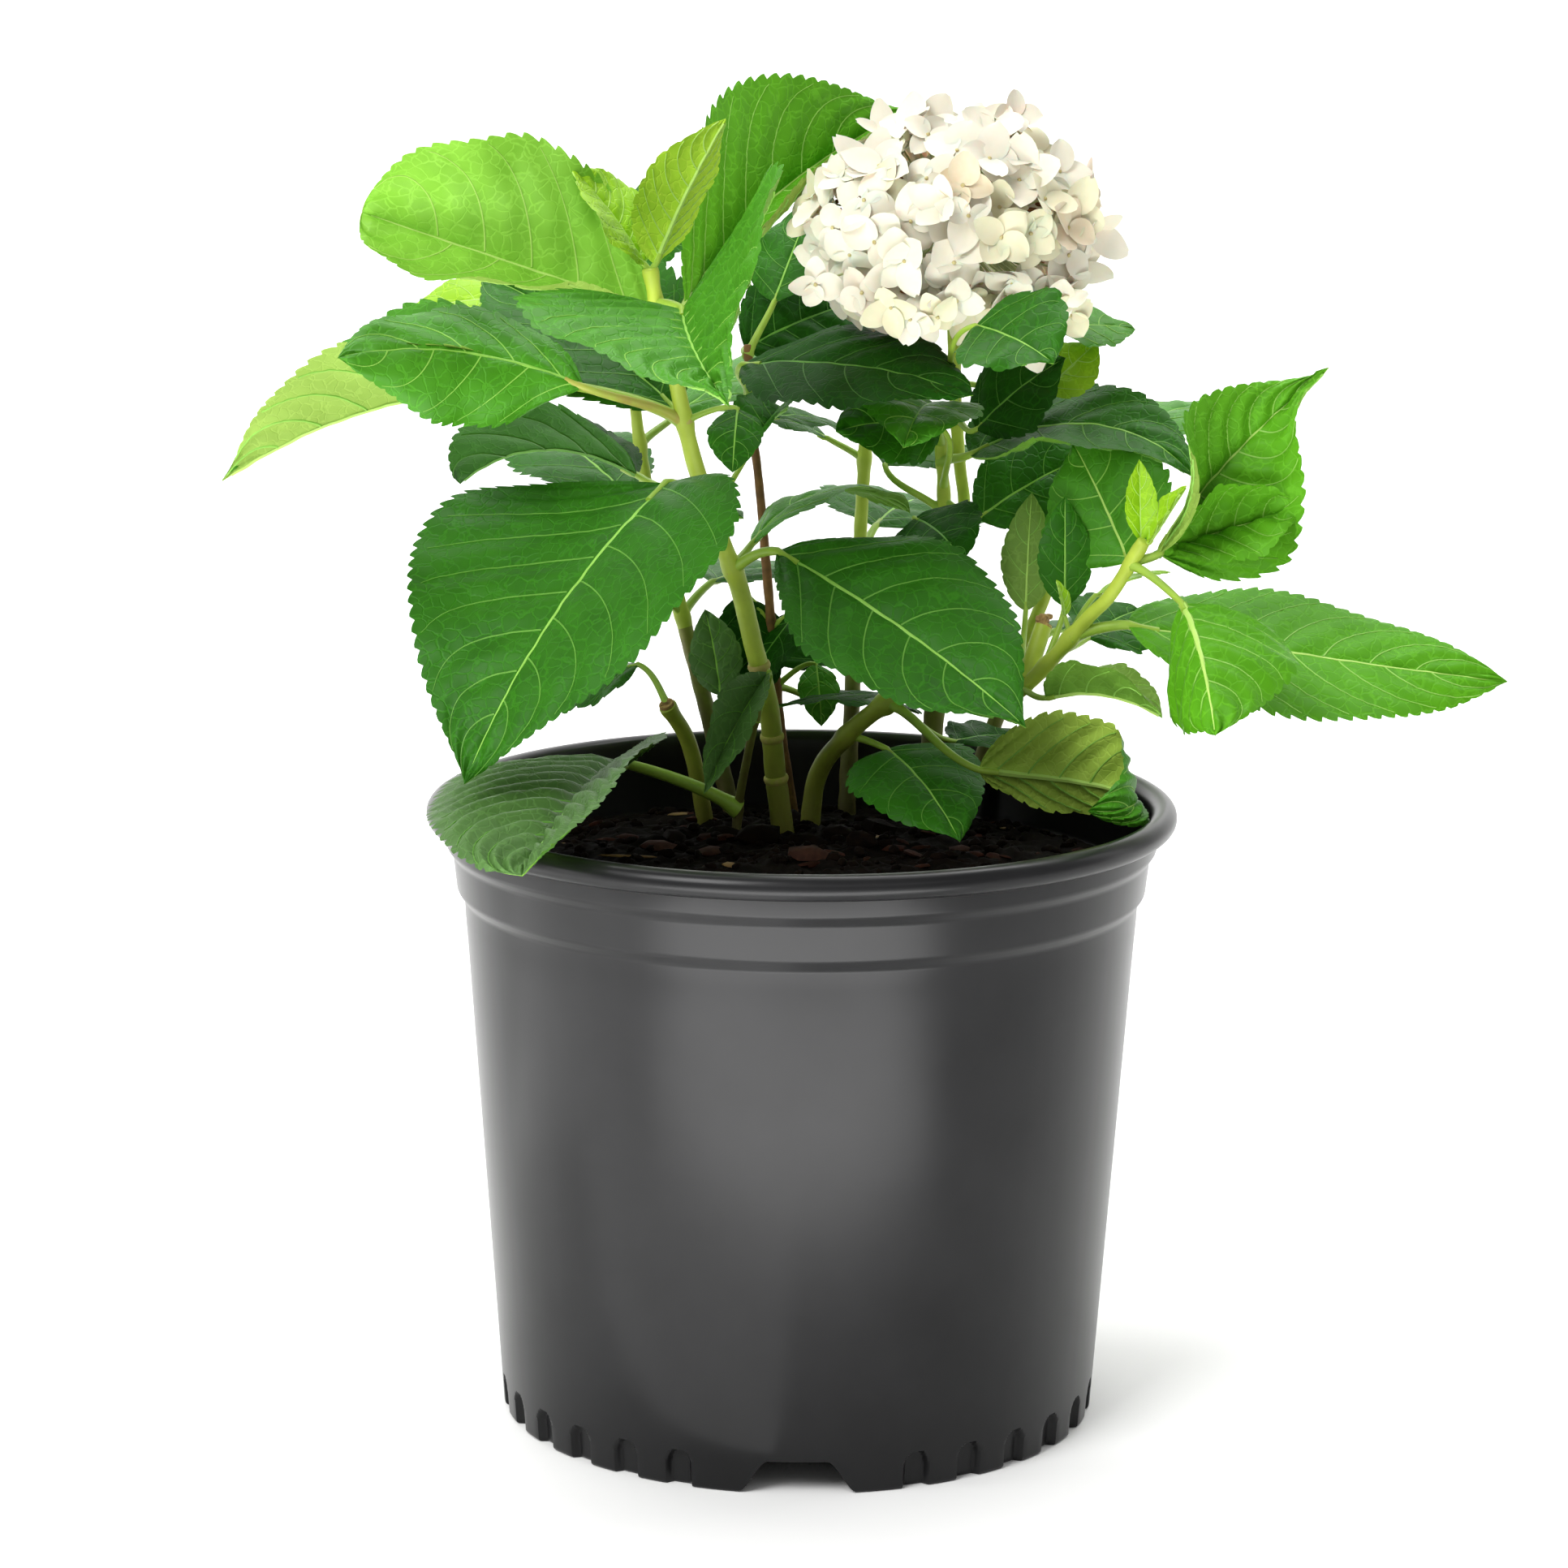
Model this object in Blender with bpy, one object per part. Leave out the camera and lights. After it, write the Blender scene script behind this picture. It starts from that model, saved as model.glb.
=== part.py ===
"""A young hydrangea shrub growing in a round black nursery pot.

Sizes are real ones in millimetres and become metres only when a mesh is made. X runs to the
plant's right, Y to its back, Z up; the pot stands on its flat underside at the origin.
"""
import math
import random

import bpy
import numpy as np

for old in list(bpy.data.objects):
    bpy.data.objects.remove(old, do_unlink=True)

MM = 0.001
GAP = 0.3           # clear space kept between neighbouring solids

# ---- plant rule ----
# A compass heading of 0 is the plant's right and 90 its back; a rise is degrees above level.
def aim(heading, rise):
    """Unit direction from a compass heading (0 right, 90 back) and a rise above level."""
    h, r = math.radians(heading), math.radians(rise)
    return np.array([math.cos(h) * math.cos(r), math.sin(h) * math.cos(r), math.sin(r)])


def smooth_path(points):
    """Twelve points to each span of a smooth curve that passes through the given ones."""
    p = [np.array(q, float) for q in points]
    p = [2 * p[0] - p[1]] + p + [2 * p[-1] - p[-2]]
    out = []
    for i in range(1, len(p) - 2):
        for k in range(12):
            t = k / 12
            a, b, c, d = p[i - 1], p[i], p[i + 1], p[i + 2]
            out.append(0.5 * (2 * b + (c - a) * t + (2 * a - 5 * b + 4 * c - d) * t * t
                              + (3 * b - a - 3 * c + d) * t ** 3))
    out.append(p[-2])
    return np.array(out)


def petiole_path(leaf, steps):
    """The stalk from its node to the foot of the blade, leaving steeply and easing over."""
    a, b = leaf["node"], leaf["foot"]
    reach = np.linalg.norm(b - a)
    t0 = aim(leaf["heading"], leaf["rise"] + leaf["droop"] * 0.5)
    away = (b - a) / max(reach, 1e-6)
    lift = leaf.get("lift", 0.25)
    t1 = (away + t0)
    t1 = t1 / np.linalg.norm(t1)
    start = away + lift * np.array([0, 0, 1.0])
    start = start / np.linalg.norm(start)
    m0, m1 = start * reach, t1 * reach
    out = []
    for k in range(steps + 1):
        t = k / steps
        out.append((2 * t ** 3 - 3 * t * t + 1) * a + (t ** 3 - 2 * t * t + t) * m0
                   + (3 * t * t - 2 * t ** 3) * b + (t ** 3 - t * t) * m1)
    return np.array(out)


def bend(leaf, u):
    """How far round its sideways sweep a blade has come; a curled tip turns late."""
    return u ** 3 if leaf["curled"] else u - 0.5


def blade_frames(leaf, steps=40):
    """Midrib points and directions from foot to tip, with the blade's side and face."""
    u = np.linspace(0, 1, steps + 1)
    mid = (u[1:] + u[:-1]) / 2
    ahead = []
    for m in mid:
        ahead.append(aim(leaf["heading"] + leaf["sweep"] * bend(leaf, m),
                         leaf["rise"] + leaf["droop"] * (0.5 - m)))
    ahead = np.array(ahead)
    line = np.vstack([leaf["foot"], leaf["foot"] + np.cumsum(ahead, axis=0) * leaf["length"] / steps])
    tan = np.vstack([ahead[:1], (ahead[1:] + ahead[:-1]) / 2, ahead[-1:]])
    tan = tan / np.linalg.norm(tan, axis=1)[:, None]
    side, face = [], []
    for k, t in enumerate(tan):
        h = math.radians(leaf["heading"] + leaf["sweep"] * bend(leaf, u[k]))
        s0 = np.array([math.sin(h), -math.cos(h), 0.0])
        s0 = s0 - t * s0.dot(t)
        s0 = s0 / np.linalg.norm(s0)
        n0 = np.cross(s0, t)
        r = math.radians(leaf["roll"] + leaf["twist"] * (u[k] - 0.5))
        s = s0 * math.cos(r) + n0 * math.sin(r)
        side.append(s)
        face.append(np.cross(s, t))
    return u, line, tan, np.array(side), np.array(face)


def half_width(leaf, u):
    """Half the blade's breadth at a share u of its length."""
    a, b = leaf["blunt"], leaf["point"]
    peak = a / (a + b)
    top = peak ** a * (1 - peak) ** b
    return 0.5 * leaf["width"] * (np.clip(u, 0, 1) ** a * np.clip(1 - u, 0, 1) ** b) / top


def blade_points(leaf, us, ws):
    """Points over the blade; w runs from -1 on the left margin to 1 on the right one."""
    u, line, tan, side, face = blade_frames(leaf)
    us, ws = np.asarray(us, float), np.asarray(ws, float)
    pick = lambda rows: np.stack([np.interp(us, u, rows[:, k]) for k in range(3)], axis=1)
    p, s, n = pick(line), pick(side), pick(face)
    wide = half_width(leaf, us)
    steps = np.linspace(0, 1, 25)
    mids = (steps[1:] + steps[:-1]) / 2
    out = np.zeros((len(us), len(ws), 3))
    for j, w in enumerate(ws):
        near, edge = leaf["fold_right"] if w >= 0 else leaf["fold_left"]
        ang = np.radians(near + (edge - near) * mids)
        across = np.interp(abs(w), steps, np.concatenate([[0], np.cumsum(np.cos(ang)) / 24]))
        up = np.interp(abs(w), steps, np.concatenate([[0], np.cumsum(np.sin(ang)) / 24]))
        kept = leaf["trim"][0 if w >= 0 else 1]
        out[:, j] = p + kept * wide[:, None] * (s * across * (1 if w >= 0 else -1) + n * up)
    return out, n

# Each cane: the points it passes, its radius at foot and tip, and the solids it is divided into
# (name, first point, last point). A solid whose name starts with leaves is a mass's own stem.
CANES = {
    "main": (((-6, 46, 203), (-10, 42, 234), (-13, 36, 262), (-19, 30, 287), (-24, 26, 308),
              (-32, 20, 330), (-39, 14, 351), (-43, 10, 366), (-49, 4, 395), (-53, 1, 408),
              (-57, -2, 430)), 4.3, 2.6,
             (("main_cane", 0, 4), ("leaves_main_low", 4, 7), ("leaves_main_middle", 7, 9),
              ("leaves_main_top", 9, 10))),
    "brown": (((-2, 84, 203), (-9, 76, 250), (-13, 73, 296), (-17, 71, 340), (-20, 70, 366),
               (-22, 71, 396)), 2.3, 1.4,
              (("brown_cane", 0, 1), ("leaves_brown_low", 1, 2), ("brown_cane_upper", 2, 3),
               ("leaves_brown_top", 3, 5))),
    "centre": (((46, 70, 203), (52, 68, 260), (56, 70, 316)), 3.7, 4.4, (("centre_cane", 0, 2),)),
    "centre top": (((53.4, 70, 317), (54, 70, 335), (53, 72, 350), (52, 73, 366)), 2.3, 2.0,
                   (("leaves_centre", 0, 3),)),
    "bloom": (((59, 71, 317), (62, 76, 332), (60, 79, 350), (58, 80, 376), (57, 75, 394),
               (55, 56, 419)), 2.4, 2.3,
              (("bloom_stalk", 0, 2), ("leaves_bloom", 2, 4), ("bloom_head", 4, 5))),
    "right": (((3, 57, 203), (6, 55, 230), (17, 45, 248), (31, 36, 262), (44, 32, 269), (63, 27, 270),
               (79, 21, 270), (91, 15, 281), (106, 6, 301), (114, 0, 311), (125, -8, 332)), 3.9, 2.3,
              (("right_cane_foot", 0, 1), ("leaves_low_right", 1, 4), ("right_cane", 4, 6),
               ("leaves_right_middle", 6, 8), ("leaves_right_top", 8, 10))),
    "low left": (((-25, 41, 203), (-24, 40, 222), (-20, 29, 246), (-16, 22, 268)), 1.9, 1.4,
                 (("leaves_low_left", 0, 3),)),
    "stub": (((-36, 68, 203), (-43, 60, 240), (-52, 50, 259)), 3.3, 3.0, (("left_stub_leaf", 0, 2),)),
    "back left": (((-26, 96, 203), (-46, 104, 280), (-58, 106, 320), (-64, 104, 352), (-68, 100, 392)),
                  3.6, 2.0, (("back_left_cane", 0, 1), ("leaves_back_left", 1, 4))),
    "back middle": (((18, 104, 203), (22, 114, 300), (24, 116, 345), (26, 115, 380), (27, 116, 408)),
                    3.6, 2.0, (("back_middle_cane", 0, 1), ("leaves_back_middle", 1, 4))),
    "back right": (((62, 98, 203), (84, 108, 262), (98, 112, 300), (106, 112, 345)), 3.4, 2.0,
                   (("back_right_cane", 0, 1), ("leaves_back_right", 1, 3))),
}

# The bloom: a round head of four-petalled florets.
BLOOM_CENTRE = (55, 40, 442)
BLOOM_HALF = (59, 50, 44)       # half its breadth, depth and height
FLORET_WIDE = 21

LEAVES = []


def leaf(name, mass, at, stalk, blade, width, tone, roll=0, droop=20, sweep=0, twist=0,
         right=(4, -6), left=(4, -6), trim=(1, 1), blunt=0.7, point=0.95, curled=False, lift=0.25):
    """One leaf on its stalk.

    at is its node; stalk and blade are (length, heading, rise); droop, sweep and twist are how far
    the blade turns from foot to tip; roll lifts its right side; right and left are the angles each
    half folds up by, at the midrib and at the margin; trim is how much of its right and left half
    is left; blunt rounds its foot and point its tip; a curled blade turns late, near its tip.
    """
    node = np.array(at, float)
    foot = node + stalk[0] * aim(stalk[1], stalk[2])
    LEAVES.append(dict(name=name, mass=mass, node=node, foot=foot, length=blade[0], heading=blade[1],
                       rise=blade[2], width=width, tone=tone, roll=roll, droop=droop, sweep=sweep,
                       twist=twist, fold_right=right, fold_left=left, blunt=blunt, point=point,
                       curled=curled, lift=lift, trim=trim))


# leaves_main_top
leaf("upper left", "leaves_main_top", (-55, 0, 417), (4, 136, -27), (110, -180, 18), 99, "bright",
     roll=41, droop=0, sweep=-12, twist=62, trim=(1, 0.6), right=(50, 82), left=(0, 60), point=0.5)
leaf("upper right", "leaves_main_top", (-55, 0, 417), (13, 35, -13), (152, 50, 27), 98, "bright",
     roll=-72, droop=10, sweep=-42, twist=-10, trim=(0.45, 0.92), right=(40, 150), left=(15, 9),
     blunt=1.25, point=1.35)
leaf("upper front", "leaves_main_top", (-55, 0, 417), (19, -58, -1), (110, -80, -12), 124, "mid",
     roll=-17, droop=6, sweep=15, twist=-11, trim=(1, 1.1), right=(20, 30), left=(36, 60), blunt=0.58,
     point=1.5)
leaf("tip right", "leaves_main_top", (-57, -2, 428), (4, -20, 60), (60, -20, 63), 34, "lime",
     roll=30, droop=10, right=(25, 20), left=(25, 20))
leaf("tip left", "leaves_main_top", (-57, -2, 428), (4, 170, 60), (44, -170, 52), 40, "lime",
     roll=30, droop=20, right=(10, 10), left=(10, 10))
# leaves_main_middle
leaf("middle left", "leaves_main_middle", (-44, 9, 373), (44, -152, 19), (96, -162, 8), 62, "dark",
     roll=42, droop=33, sweep=45, twist=-30, trim=(0.82, 0.94), right=(-12, -7), left=(2, -77), blunt=0.9)
leaf("far left", "leaves_main_middle", (-44, 9, 373), (46, 176, 16), (136, -181, -16), 83, "under",
     roll=-45, droop=37, sweep=5, twist=-44, right=(90, 89), left=(-2, -7), blunt=1.05, point=1.35)
leaf("middle back", "leaves_main_middle", (-44, 8, 373), (12, 110, 15), (108, 140, 24), 76, "dark",
     roll=50, droop=20, right=(5, 5), left=(40, 30))
leaf("middle right", "leaves_main_middle", (-44, 8, 373), (22, -25, 15), (28, -95, -50), 20, "dark",
     droop=30)
# leaves_main_low
leaf("great left", "leaves_main_low", (-34, 18, 335), (28, -137, 34), (145, -134, -44), 140, "dark",
     roll=10, droop=38, sweep=-15, twist=34, trim=(1.1, 0.9), right=(-9, 21), left=(13, 10), blunt=0.46,
     point=1.1)
leaf("rising right", "leaves_main_low", (-35, 18, 335), (42, 58, 40), (26, 62, 20), 30, "dark",
     droop=40, right=(50, 30), left=(50, 30))
leaf("great right", "leaves_main_low", (-26, 24, 315), (25, -45, 23), (121, -33, -27), 88, "dark",
     roll=-23, droop=11, sweep=-7, twist=-7, trim=(0.9, 1), right=(-14, 21), left=(24, -7), blunt=0.88,
     point=1.15)
leaf("arched right", "leaves_main_low", (-24, 26, 316), (12, 60, 40), (78, 30, 6), 42, "mid",
     roll=10, droop=90)
leaf("back left", "leaves_main_low", (-34, 18, 335), (45, 133, 16), (82, 155, -6), 71, "dark",
     roll=2, droop=70, sweep=-7, twist=28, right=(12, 6), left=(28, 39), blunt=0.66, point=0.8)
# leaves_back_left
leaf("behind left", "leaves_back_left", (-67, 101, 388), (54, -155, 26), (42, 178, -8), 26, "lime",
     roll=40, droop=10)
leaf("tall left", "leaves_back_left", (-67, 101, 388), (42, 130, 62), (64, -20, 22), 46, "dark",
     roll=-50, droop=36)
leaf("tall far left", "leaves_back_left", (-67, 101, 388), (40, 150, 70), (34, 190, 45), 28, "mid",
     roll=40, droop=40)
# leaves_brown_top
leaf("long", "leaves_brown_top", (-20, 70, 375), (29, -98, 31), (99, -30, -3), 66, "dark",
     roll=-20, droop=25)
leaf("high", "leaves_brown_top", (-21, 70, 390), (11, 100, 13), (68, 27, 16), 50, "dark",
     roll=-50, droop=20)
leaf("top", "leaves_brown_top", (-21, 70, 390), (24, 40, 60), (50, 60, 50), 34, "dark", roll=0, droop=10)
leaf("small", "leaves_brown_top", (-20, 70, 375), (18, 60, -30), (40, 40, -12), 30, "dark",
     roll=-10, droop=30)
# leaves_brown_low
leaf("low left", "leaves_brown_low", (-12, 74, 284), (18, 170, 45), (44, -60, -75), 30, "dark",
     right=(10, 5), left=(20, 20), droop=30)
leaf("low right", "leaves_brown_low", (-10, 76, 262), (16, 90, 20), (38, 40, 20), 36, "dark",
     roll=-20, droop=30)
leaf("low hanging", "leaves_brown_low", (-10, 76, 262), (18, -10, 30), (26, -80, -60), 16, "mid",
     roll=0, droop=30)
leaf("low front", "leaves_brown_low", (-12, 74, 284), (13, -20, 35), (40, -150, -52), 32, "dark",
     droop=20)
leaf("low back", "leaves_brown_low", (-10, 76, 262), (20, 30, -20), (44, 15, -10), 34, "dark", droop=30)
# leaves_bloom
leaf("bloom front", "leaves_bloom", (58, 80, 366), (108, -88, 25), (38, -41, -17), 50, "mid",
     roll=-25, droop=25, lift=-0.15, right=(5, 5), left=(20, 10))
leaf("bloom right", "leaves_bloom", (58, 80, 388), (43, -25, 20), (34, 20, -2), 30, "mid",
     roll=-25, droop=20)
leaf("bloom lime", "leaves_bloom", (58, 80, 380), (38, -31, -2), (30, 26, 38), 24, "lime",
     roll=-40, droop=0)
leaf("bloom under", "leaves_bloom", (58, 80, 366), (22, -70, -4), (44, -8, 40), 38, "dark",
     roll=-50, droop=20)
# leaves_centre
leaf("centre left", "leaves_centre", (54, 70, 340), (37, -95, 46), (42, -165, 0), 42, "dark",
     roll=40, droop=30)
leaf("centre front", "leaves_centre", (53, 72, 356), (30, -100, 40), (48, -106, -14), 46, "mid",
     roll=10, droop=50, right=(15, 5), left=(15, 5))
leaf("centre right", "leaves_centre", (53, 72, 350), (19, -55, 16), (98, -23, -2), 67, "dark",
     roll=-21, droop=70, sweep=-55, twist=-11, trim=(1.1, 0.8), right=(-9, 40), left=(0, 22), blunt=0.4,
     point=1)
leaf("centre low right", "leaves_centre", (60, 76, 335), (18, -67, -16), (58, 21, 25), 38, "dark",
     roll=-50, droop=20)
leaf("centre low", "leaves_centre", (54, 70, 324), (22, -125, 19), (44, -66, -14), 36, "dark",
     roll=-30, droop=30)
leaf("centre back", "leaves_centre", (54, 70, 330), (30, 178, 40), (58, 50, 0), 30, "dark",
     roll=-20, droop=40)
# leaves_right_top
leaf("right rising", "leaves_right_top", (120, -5, 323), (12, -2, 20), (95, 16, 45), 75, "bright",
     roll=-89, droop=6, sweep=-60, twist=87, trim=(1.1, 1), right=(19, 54), left=(17, 29), point=1.6)
leaf("right back", "leaves_right_top", (122, -5, 322), (25, 91, -5), (54, 125, 50), 54, "under",
     roll=60, droop=10)
leaf("right folded", "leaves_right_top", (120, -5, 323), (10, 46, 7), (61, 0, 18), 45, "lime",
     roll=-21, droop=1, sweep=-40, twist=-14, right=(10, -18), left=(80, 130), blunt=1.3, point=0.8)
leaf("right tip left", "leaves_right_top", (124, -7, 328), (4, 90, 65), (30, 95, 76), 13, "lime",
     roll=0, droop=0, right=(30, 20), left=(30, 20))
leaf("right tip right", "leaves_right_top", (124, -7, 328), (4, -30, 50), (26, -15, 58), 18, "lime",
     roll=-20, droop=0, right=(20, 20), left=(20, 20))
leaf("right hanging", "leaves_right_top", (122, -5, 322), (29, -55, -20), (74, -83, -31), 76, "bright",
     roll=10, droop=40, blunt=0.55, right=(-80, -110), left=(8, -12))
# leaves_right_middle
leaf("right small", "leaves_right_middle", (98, 11, 291), (24, 50, 40), (30, 0, 18), 12, "lime",
     roll=0, droop=40)
leaf("right far", "leaves_right_middle", (100, 10, 293), (22, -10, 14), (147, 6, -9), 74, "bright",
     roll=-30, droop=-4, twist=-20, blunt=0.55)
leaf("right tiny", "leaves_right_middle", (100, 10, 293), (8, 150, 70), (14, 150, 75), 8, "lime",
     right=(20, 20), left=(20, 20))
leaf("right upright", "leaves_right_middle", (91, 15, 281), (24, 50, 62), (42, 90, 74), 20, "dark", roll=0)
leaf("right behind", "leaves_right_middle", (91, 15, 281), (42, 64, 6), (34, 50, 12), 36, "dark", roll=-30)
leaf("right pale", "leaves_right_middle", (81, 20, 271), (38, 82, 42), (46, 80, 74), 20, "under", roll=0)
leaf("right low", "leaves_right_middle", (81, 20, 270), (22, -64, 4), (48, -26, -4), 38, "lime",
     roll=45, droop=50, right=(0, 0), left=(60, 80))
# leaves_low_left
leaf("rim left", "leaves_low_left", (-24, 40, 220), (48, -167, 24), (173, -100, -2), 108, "grey",
     droop=17, trim=(1, 0.55), right=(8, -12), left=(28, 45), blunt=0.4, point=0.6)
leaf("foot front", "leaves_low_left", (-18, 25, 257), (20, -13, 74), (62, -119, -38), 25, "grey",
     roll=14, twist=27, right=(50, 60), left=(55, 25), blunt=0.83)
leaf("foot left", "leaves_low_left", (-18, 26, 260), (16, 150, 20), (34, 120, 68), 20, "grey",
     roll=40)
leaf("stub leaf", "left_stub_leaf", (-51, 51, 257), (26, 125, 33), (52, 154, -27), 40, "dark",
     roll=19, droop=35, sweep=-28, twist=25, right=(-14, -15), left=(-8, -22), blunt=0.46, point=1.1)
# leaves_low_right
leaf("foot right", "leaves_low_right", (31, 36, 262), (16, 60, 4), (50, 178, -6), 26, "dark",
     roll=-4, droop=20)
leaf("rim right", "leaves_low_right", (32, 35, 262), (52, -46, -20), (95, -4, -5), 54, "under",
     roll=78, droop=0, sweep=-230, trim=(1, 0.55), blunt=0.6, curled=True, right=(0, 0), left=(15, 10))
leaf("foot round", "leaves_low_right", (17, 45, 248), (18, -30, -10), (60, -60, -26), 52, "dark",
     roll=-12, droop=30, blunt=0.5)
leaf("foot back", "leaves_low_right", (31, 36, 262), (44, 45, -26), (44, 40, -5), 36, "dark",
     roll=-10, droop=20)

def in_bloom(points, spare):
    """Whether any of the points lies inside the bloom head, swollen by a share to spare."""
    way = (points - np.array(BLOOM_CENTRE)) / np.array(BLOOM_HALF)
    return bool((np.linalg.norm(way, axis=1) < 1 + spare).any())


def leaf_spots(one):
    """Points spread over a blade and down its stalk."""
    grid, _ = blade_points(one, np.linspace(0, 1, 15), np.linspace(-1, 1, 9))
    return np.vstack([grid.reshape(-1, 3), petiole_path(one, 6)[2:]])


def touches(one, clear):
    """Whether a leaf comes nearer than clear to another mass, a cane, the bloom or the pot."""
    mine = leaf_spots(one)
    if in_bloom(mine, 0.16) or mine[:, 2].min() < 222:
        return True
    others = [spots for mass, spots in SPOTS if mass != one["mass"]]
    return any(np.linalg.norm(mine[:, None] - spots[None], axis=2).min() < clear for spots in others)


def back_pairs(mass, nodes, long, seed, turn):
    """Leaf pairs up a hidden back shoot, each at right angles to the one below, kept clear."""
    rng = random.Random(seed)
    for k, at in enumerate(nodes):
        for half in (0, 180):
            heading = turn + 90 * k + half + rng.uniform(-12, 12)
            behind = math.sin(math.radians(heading))
            length = long * (0.66 + 0.34 * behind) * (1 - 0.05 * k)
            sway, rise, roll, tone = (rng.uniform(-10, 10), 4 + 9 * k - 12 * rng.random(),
                                      rng.uniform(-14, 14), rng.random())
            while length > 36:
                leaf(f"{mass} {k} {half}", mass, at, (15 + 8 * max(0, behind), heading, 28),
                     (length, heading + sway, rise), length * 0.68, "dark" if tone < 0.75 else "mid",
                     roll=roll, droop=34)
                if not touches(LEAVES[-1], 7):
                    SPOTS.append((mass, leaf_spots(LEAVES[-1])))
                    break
                LEAVES.pop()
                length -= 8


SPOTS = [(one["mass"], leaf_spots(one)) for one in LEAVES]
for points_on, _, _, pieces in CANES.values():
    dense = smooth_path(points_on)
    for name, first, last in pieces:
        SPOTS.append((name, dense[12 * first:12 * last + 1]))
back_pairs("leaves_back_left", ((-48, 105, 286), (-58, 106, 320), (-64, 104, 352), (-67, 101, 384)), 96, 11, 50)
back_pairs("leaves_back_middle", ((22, 115, 306), (24, 116, 345), (26, 115, 374), (27, 116, 401)), 100, 12, 70)
back_pairs("leaves_back_right", ((86, 109, 268), (98, 112, 300), (105, 112, 338)), 88, 13, 40)

# Each stalk starts at the nearest point of its own mass's stem.
for points_on, _, _, pieces in CANES.values():
    dense = smooth_path(points_on)
    for name, first, last in pieces:
        stem = dense[12 * first + 1:12 * last]
        for one in LEAVES:
            if one["mass"] == name:
                one["node"] = stem[np.linalg.norm(stem - one["node"], axis=1).argmin()]


def floret_places(count, seed):
    """Where florets sit over the head: centre, outward direction, breadth and a turn."""
    rng = random.Random(seed)
    golden = math.pi * (3 - math.sqrt(5))
    out = []
    for k in range(count):
        z = 1 - 1.84 * (k + 0.5) / count
        ring = math.sqrt(max(0, 1 - z * z))
        way = np.array([ring * math.cos(golden * k), ring * math.sin(golden * k), z])
        way = way + np.array([rng.uniform(-0.10, 0.10) for _ in range(3)])
        way = way / np.linalg.norm(way)
        deep = rng.uniform(0.86, 0.97)
        place = np.array(BLOOM_CENTRE) + way * np.array(BLOOM_HALF) * deep
        out_way = way / np.array(BLOOM_HALF)
        out_way = out_way / np.linalg.norm(out_way) + np.array([rng.uniform(-0.3, 0.3) for _ in range(3)])
        out.append((place, out_way / np.linalg.norm(out_way), FLORET_WIDE * rng.uniform(0.8, 1.05),
                    rng.uniform(0, 90)))
    return out


# Pot, turned about its upright axis: (radius, height) up the outside, over the rim, down inside.
RIM_TUBE = 4.9                  # radius of the rolled rim
RIM_AT = (135.1, 228.7)
FLOOR = 3.0
POT_OUTSIDE = ((111.4, 0), (112.3, 1.2), (113.4, 15), (126.0, 197), (128.6, 200.6), (130.2, 214),
               (132.6, 217), (133.4, 223.6))
POT_INSIDE = ((130.2, 224), (123.9, 197), (111.8, 24), (106.5, FLOOR))
FLUTES = 32                     # hollow notches round the foot
FLUTE_HIGH = 14
FLUTE_WIDE = 9.0
FLUTE_DEEP = 2.6
ARCH = (38, 23, 12.6)           # drain arch: breadth at the foot, breadth at its top, height

SOIL_EDGE = 204                 # soil level at the pot's wall and in the middle
SOIL_MIDDLE = 212
# ---- end of plant rule ----


# ---- solids ----
def paint(name, colour, roughness):
    """A plain coloured surface."""
    mat = bpy.data.materials.new(name)
    mat.use_nodes = True
    shader = mat.node_tree.nodes["Principled BSDF"]
    shader.inputs["Base Color"].default_value = (*colour, 1)
    shader.inputs["Roughness"].default_value = roughness
    shader.inputs["Metallic"].default_value = 0
    return mat


def solid(name, points, faces, mat, smooth=True):
    """An object from points in millimetres and faces."""
    mesh = bpy.data.meshes.new(name)
    mesh.from_pydata([tuple(float(c) * MM for c in p) for p in points], [], faces)
    mesh.validate()
    mesh.materials.append(mat)
    if smooth:
        mesh.shade_smooth()
        mesh.set_sharp_from_angle(angle=math.radians(38))
    obj = bpy.data.objects.new(name, mesh)
    bpy.context.scene.collection.objects.link(obj)
    return obj


def tube(line, radii, sides):
    """A closed round bar along a line, with flat ends square to it."""
    line = np.asarray(line, float)
    ahead = np.gradient(line, axis=0)
    ahead = ahead / np.linalg.norm(ahead, axis=1)[:, None]
    side = np.cross(ahead[0], (0.0, 1.0, 0.0))
    if np.linalg.norm(side) < 0.2:
        side = np.cross(ahead[0], (1.0, 0.0, 0.0))
    points, faces = [], []
    for p, a, r in zip(line, ahead, radii):
        side = side - a * side.dot(a)
        side = side / np.linalg.norm(side)
        up = np.cross(a, side)
        for k in range(sides):
            t = 2 * math.pi * k / sides
            points.append(p + r * (side * math.cos(t) + up * math.sin(t)))
    rows = len(line)
    for i in range(rows - 1):
        for k in range(sides):
            a, b = i * sides + k, i * sides + (k + 1) % sides
            faces.append((a, b, b + sides, a + sides))
    faces.append(tuple(range(sides))[::-1])
    faces.append(tuple((rows - 1) * sides + k for k in range(sides)))
    return points, faces


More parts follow.
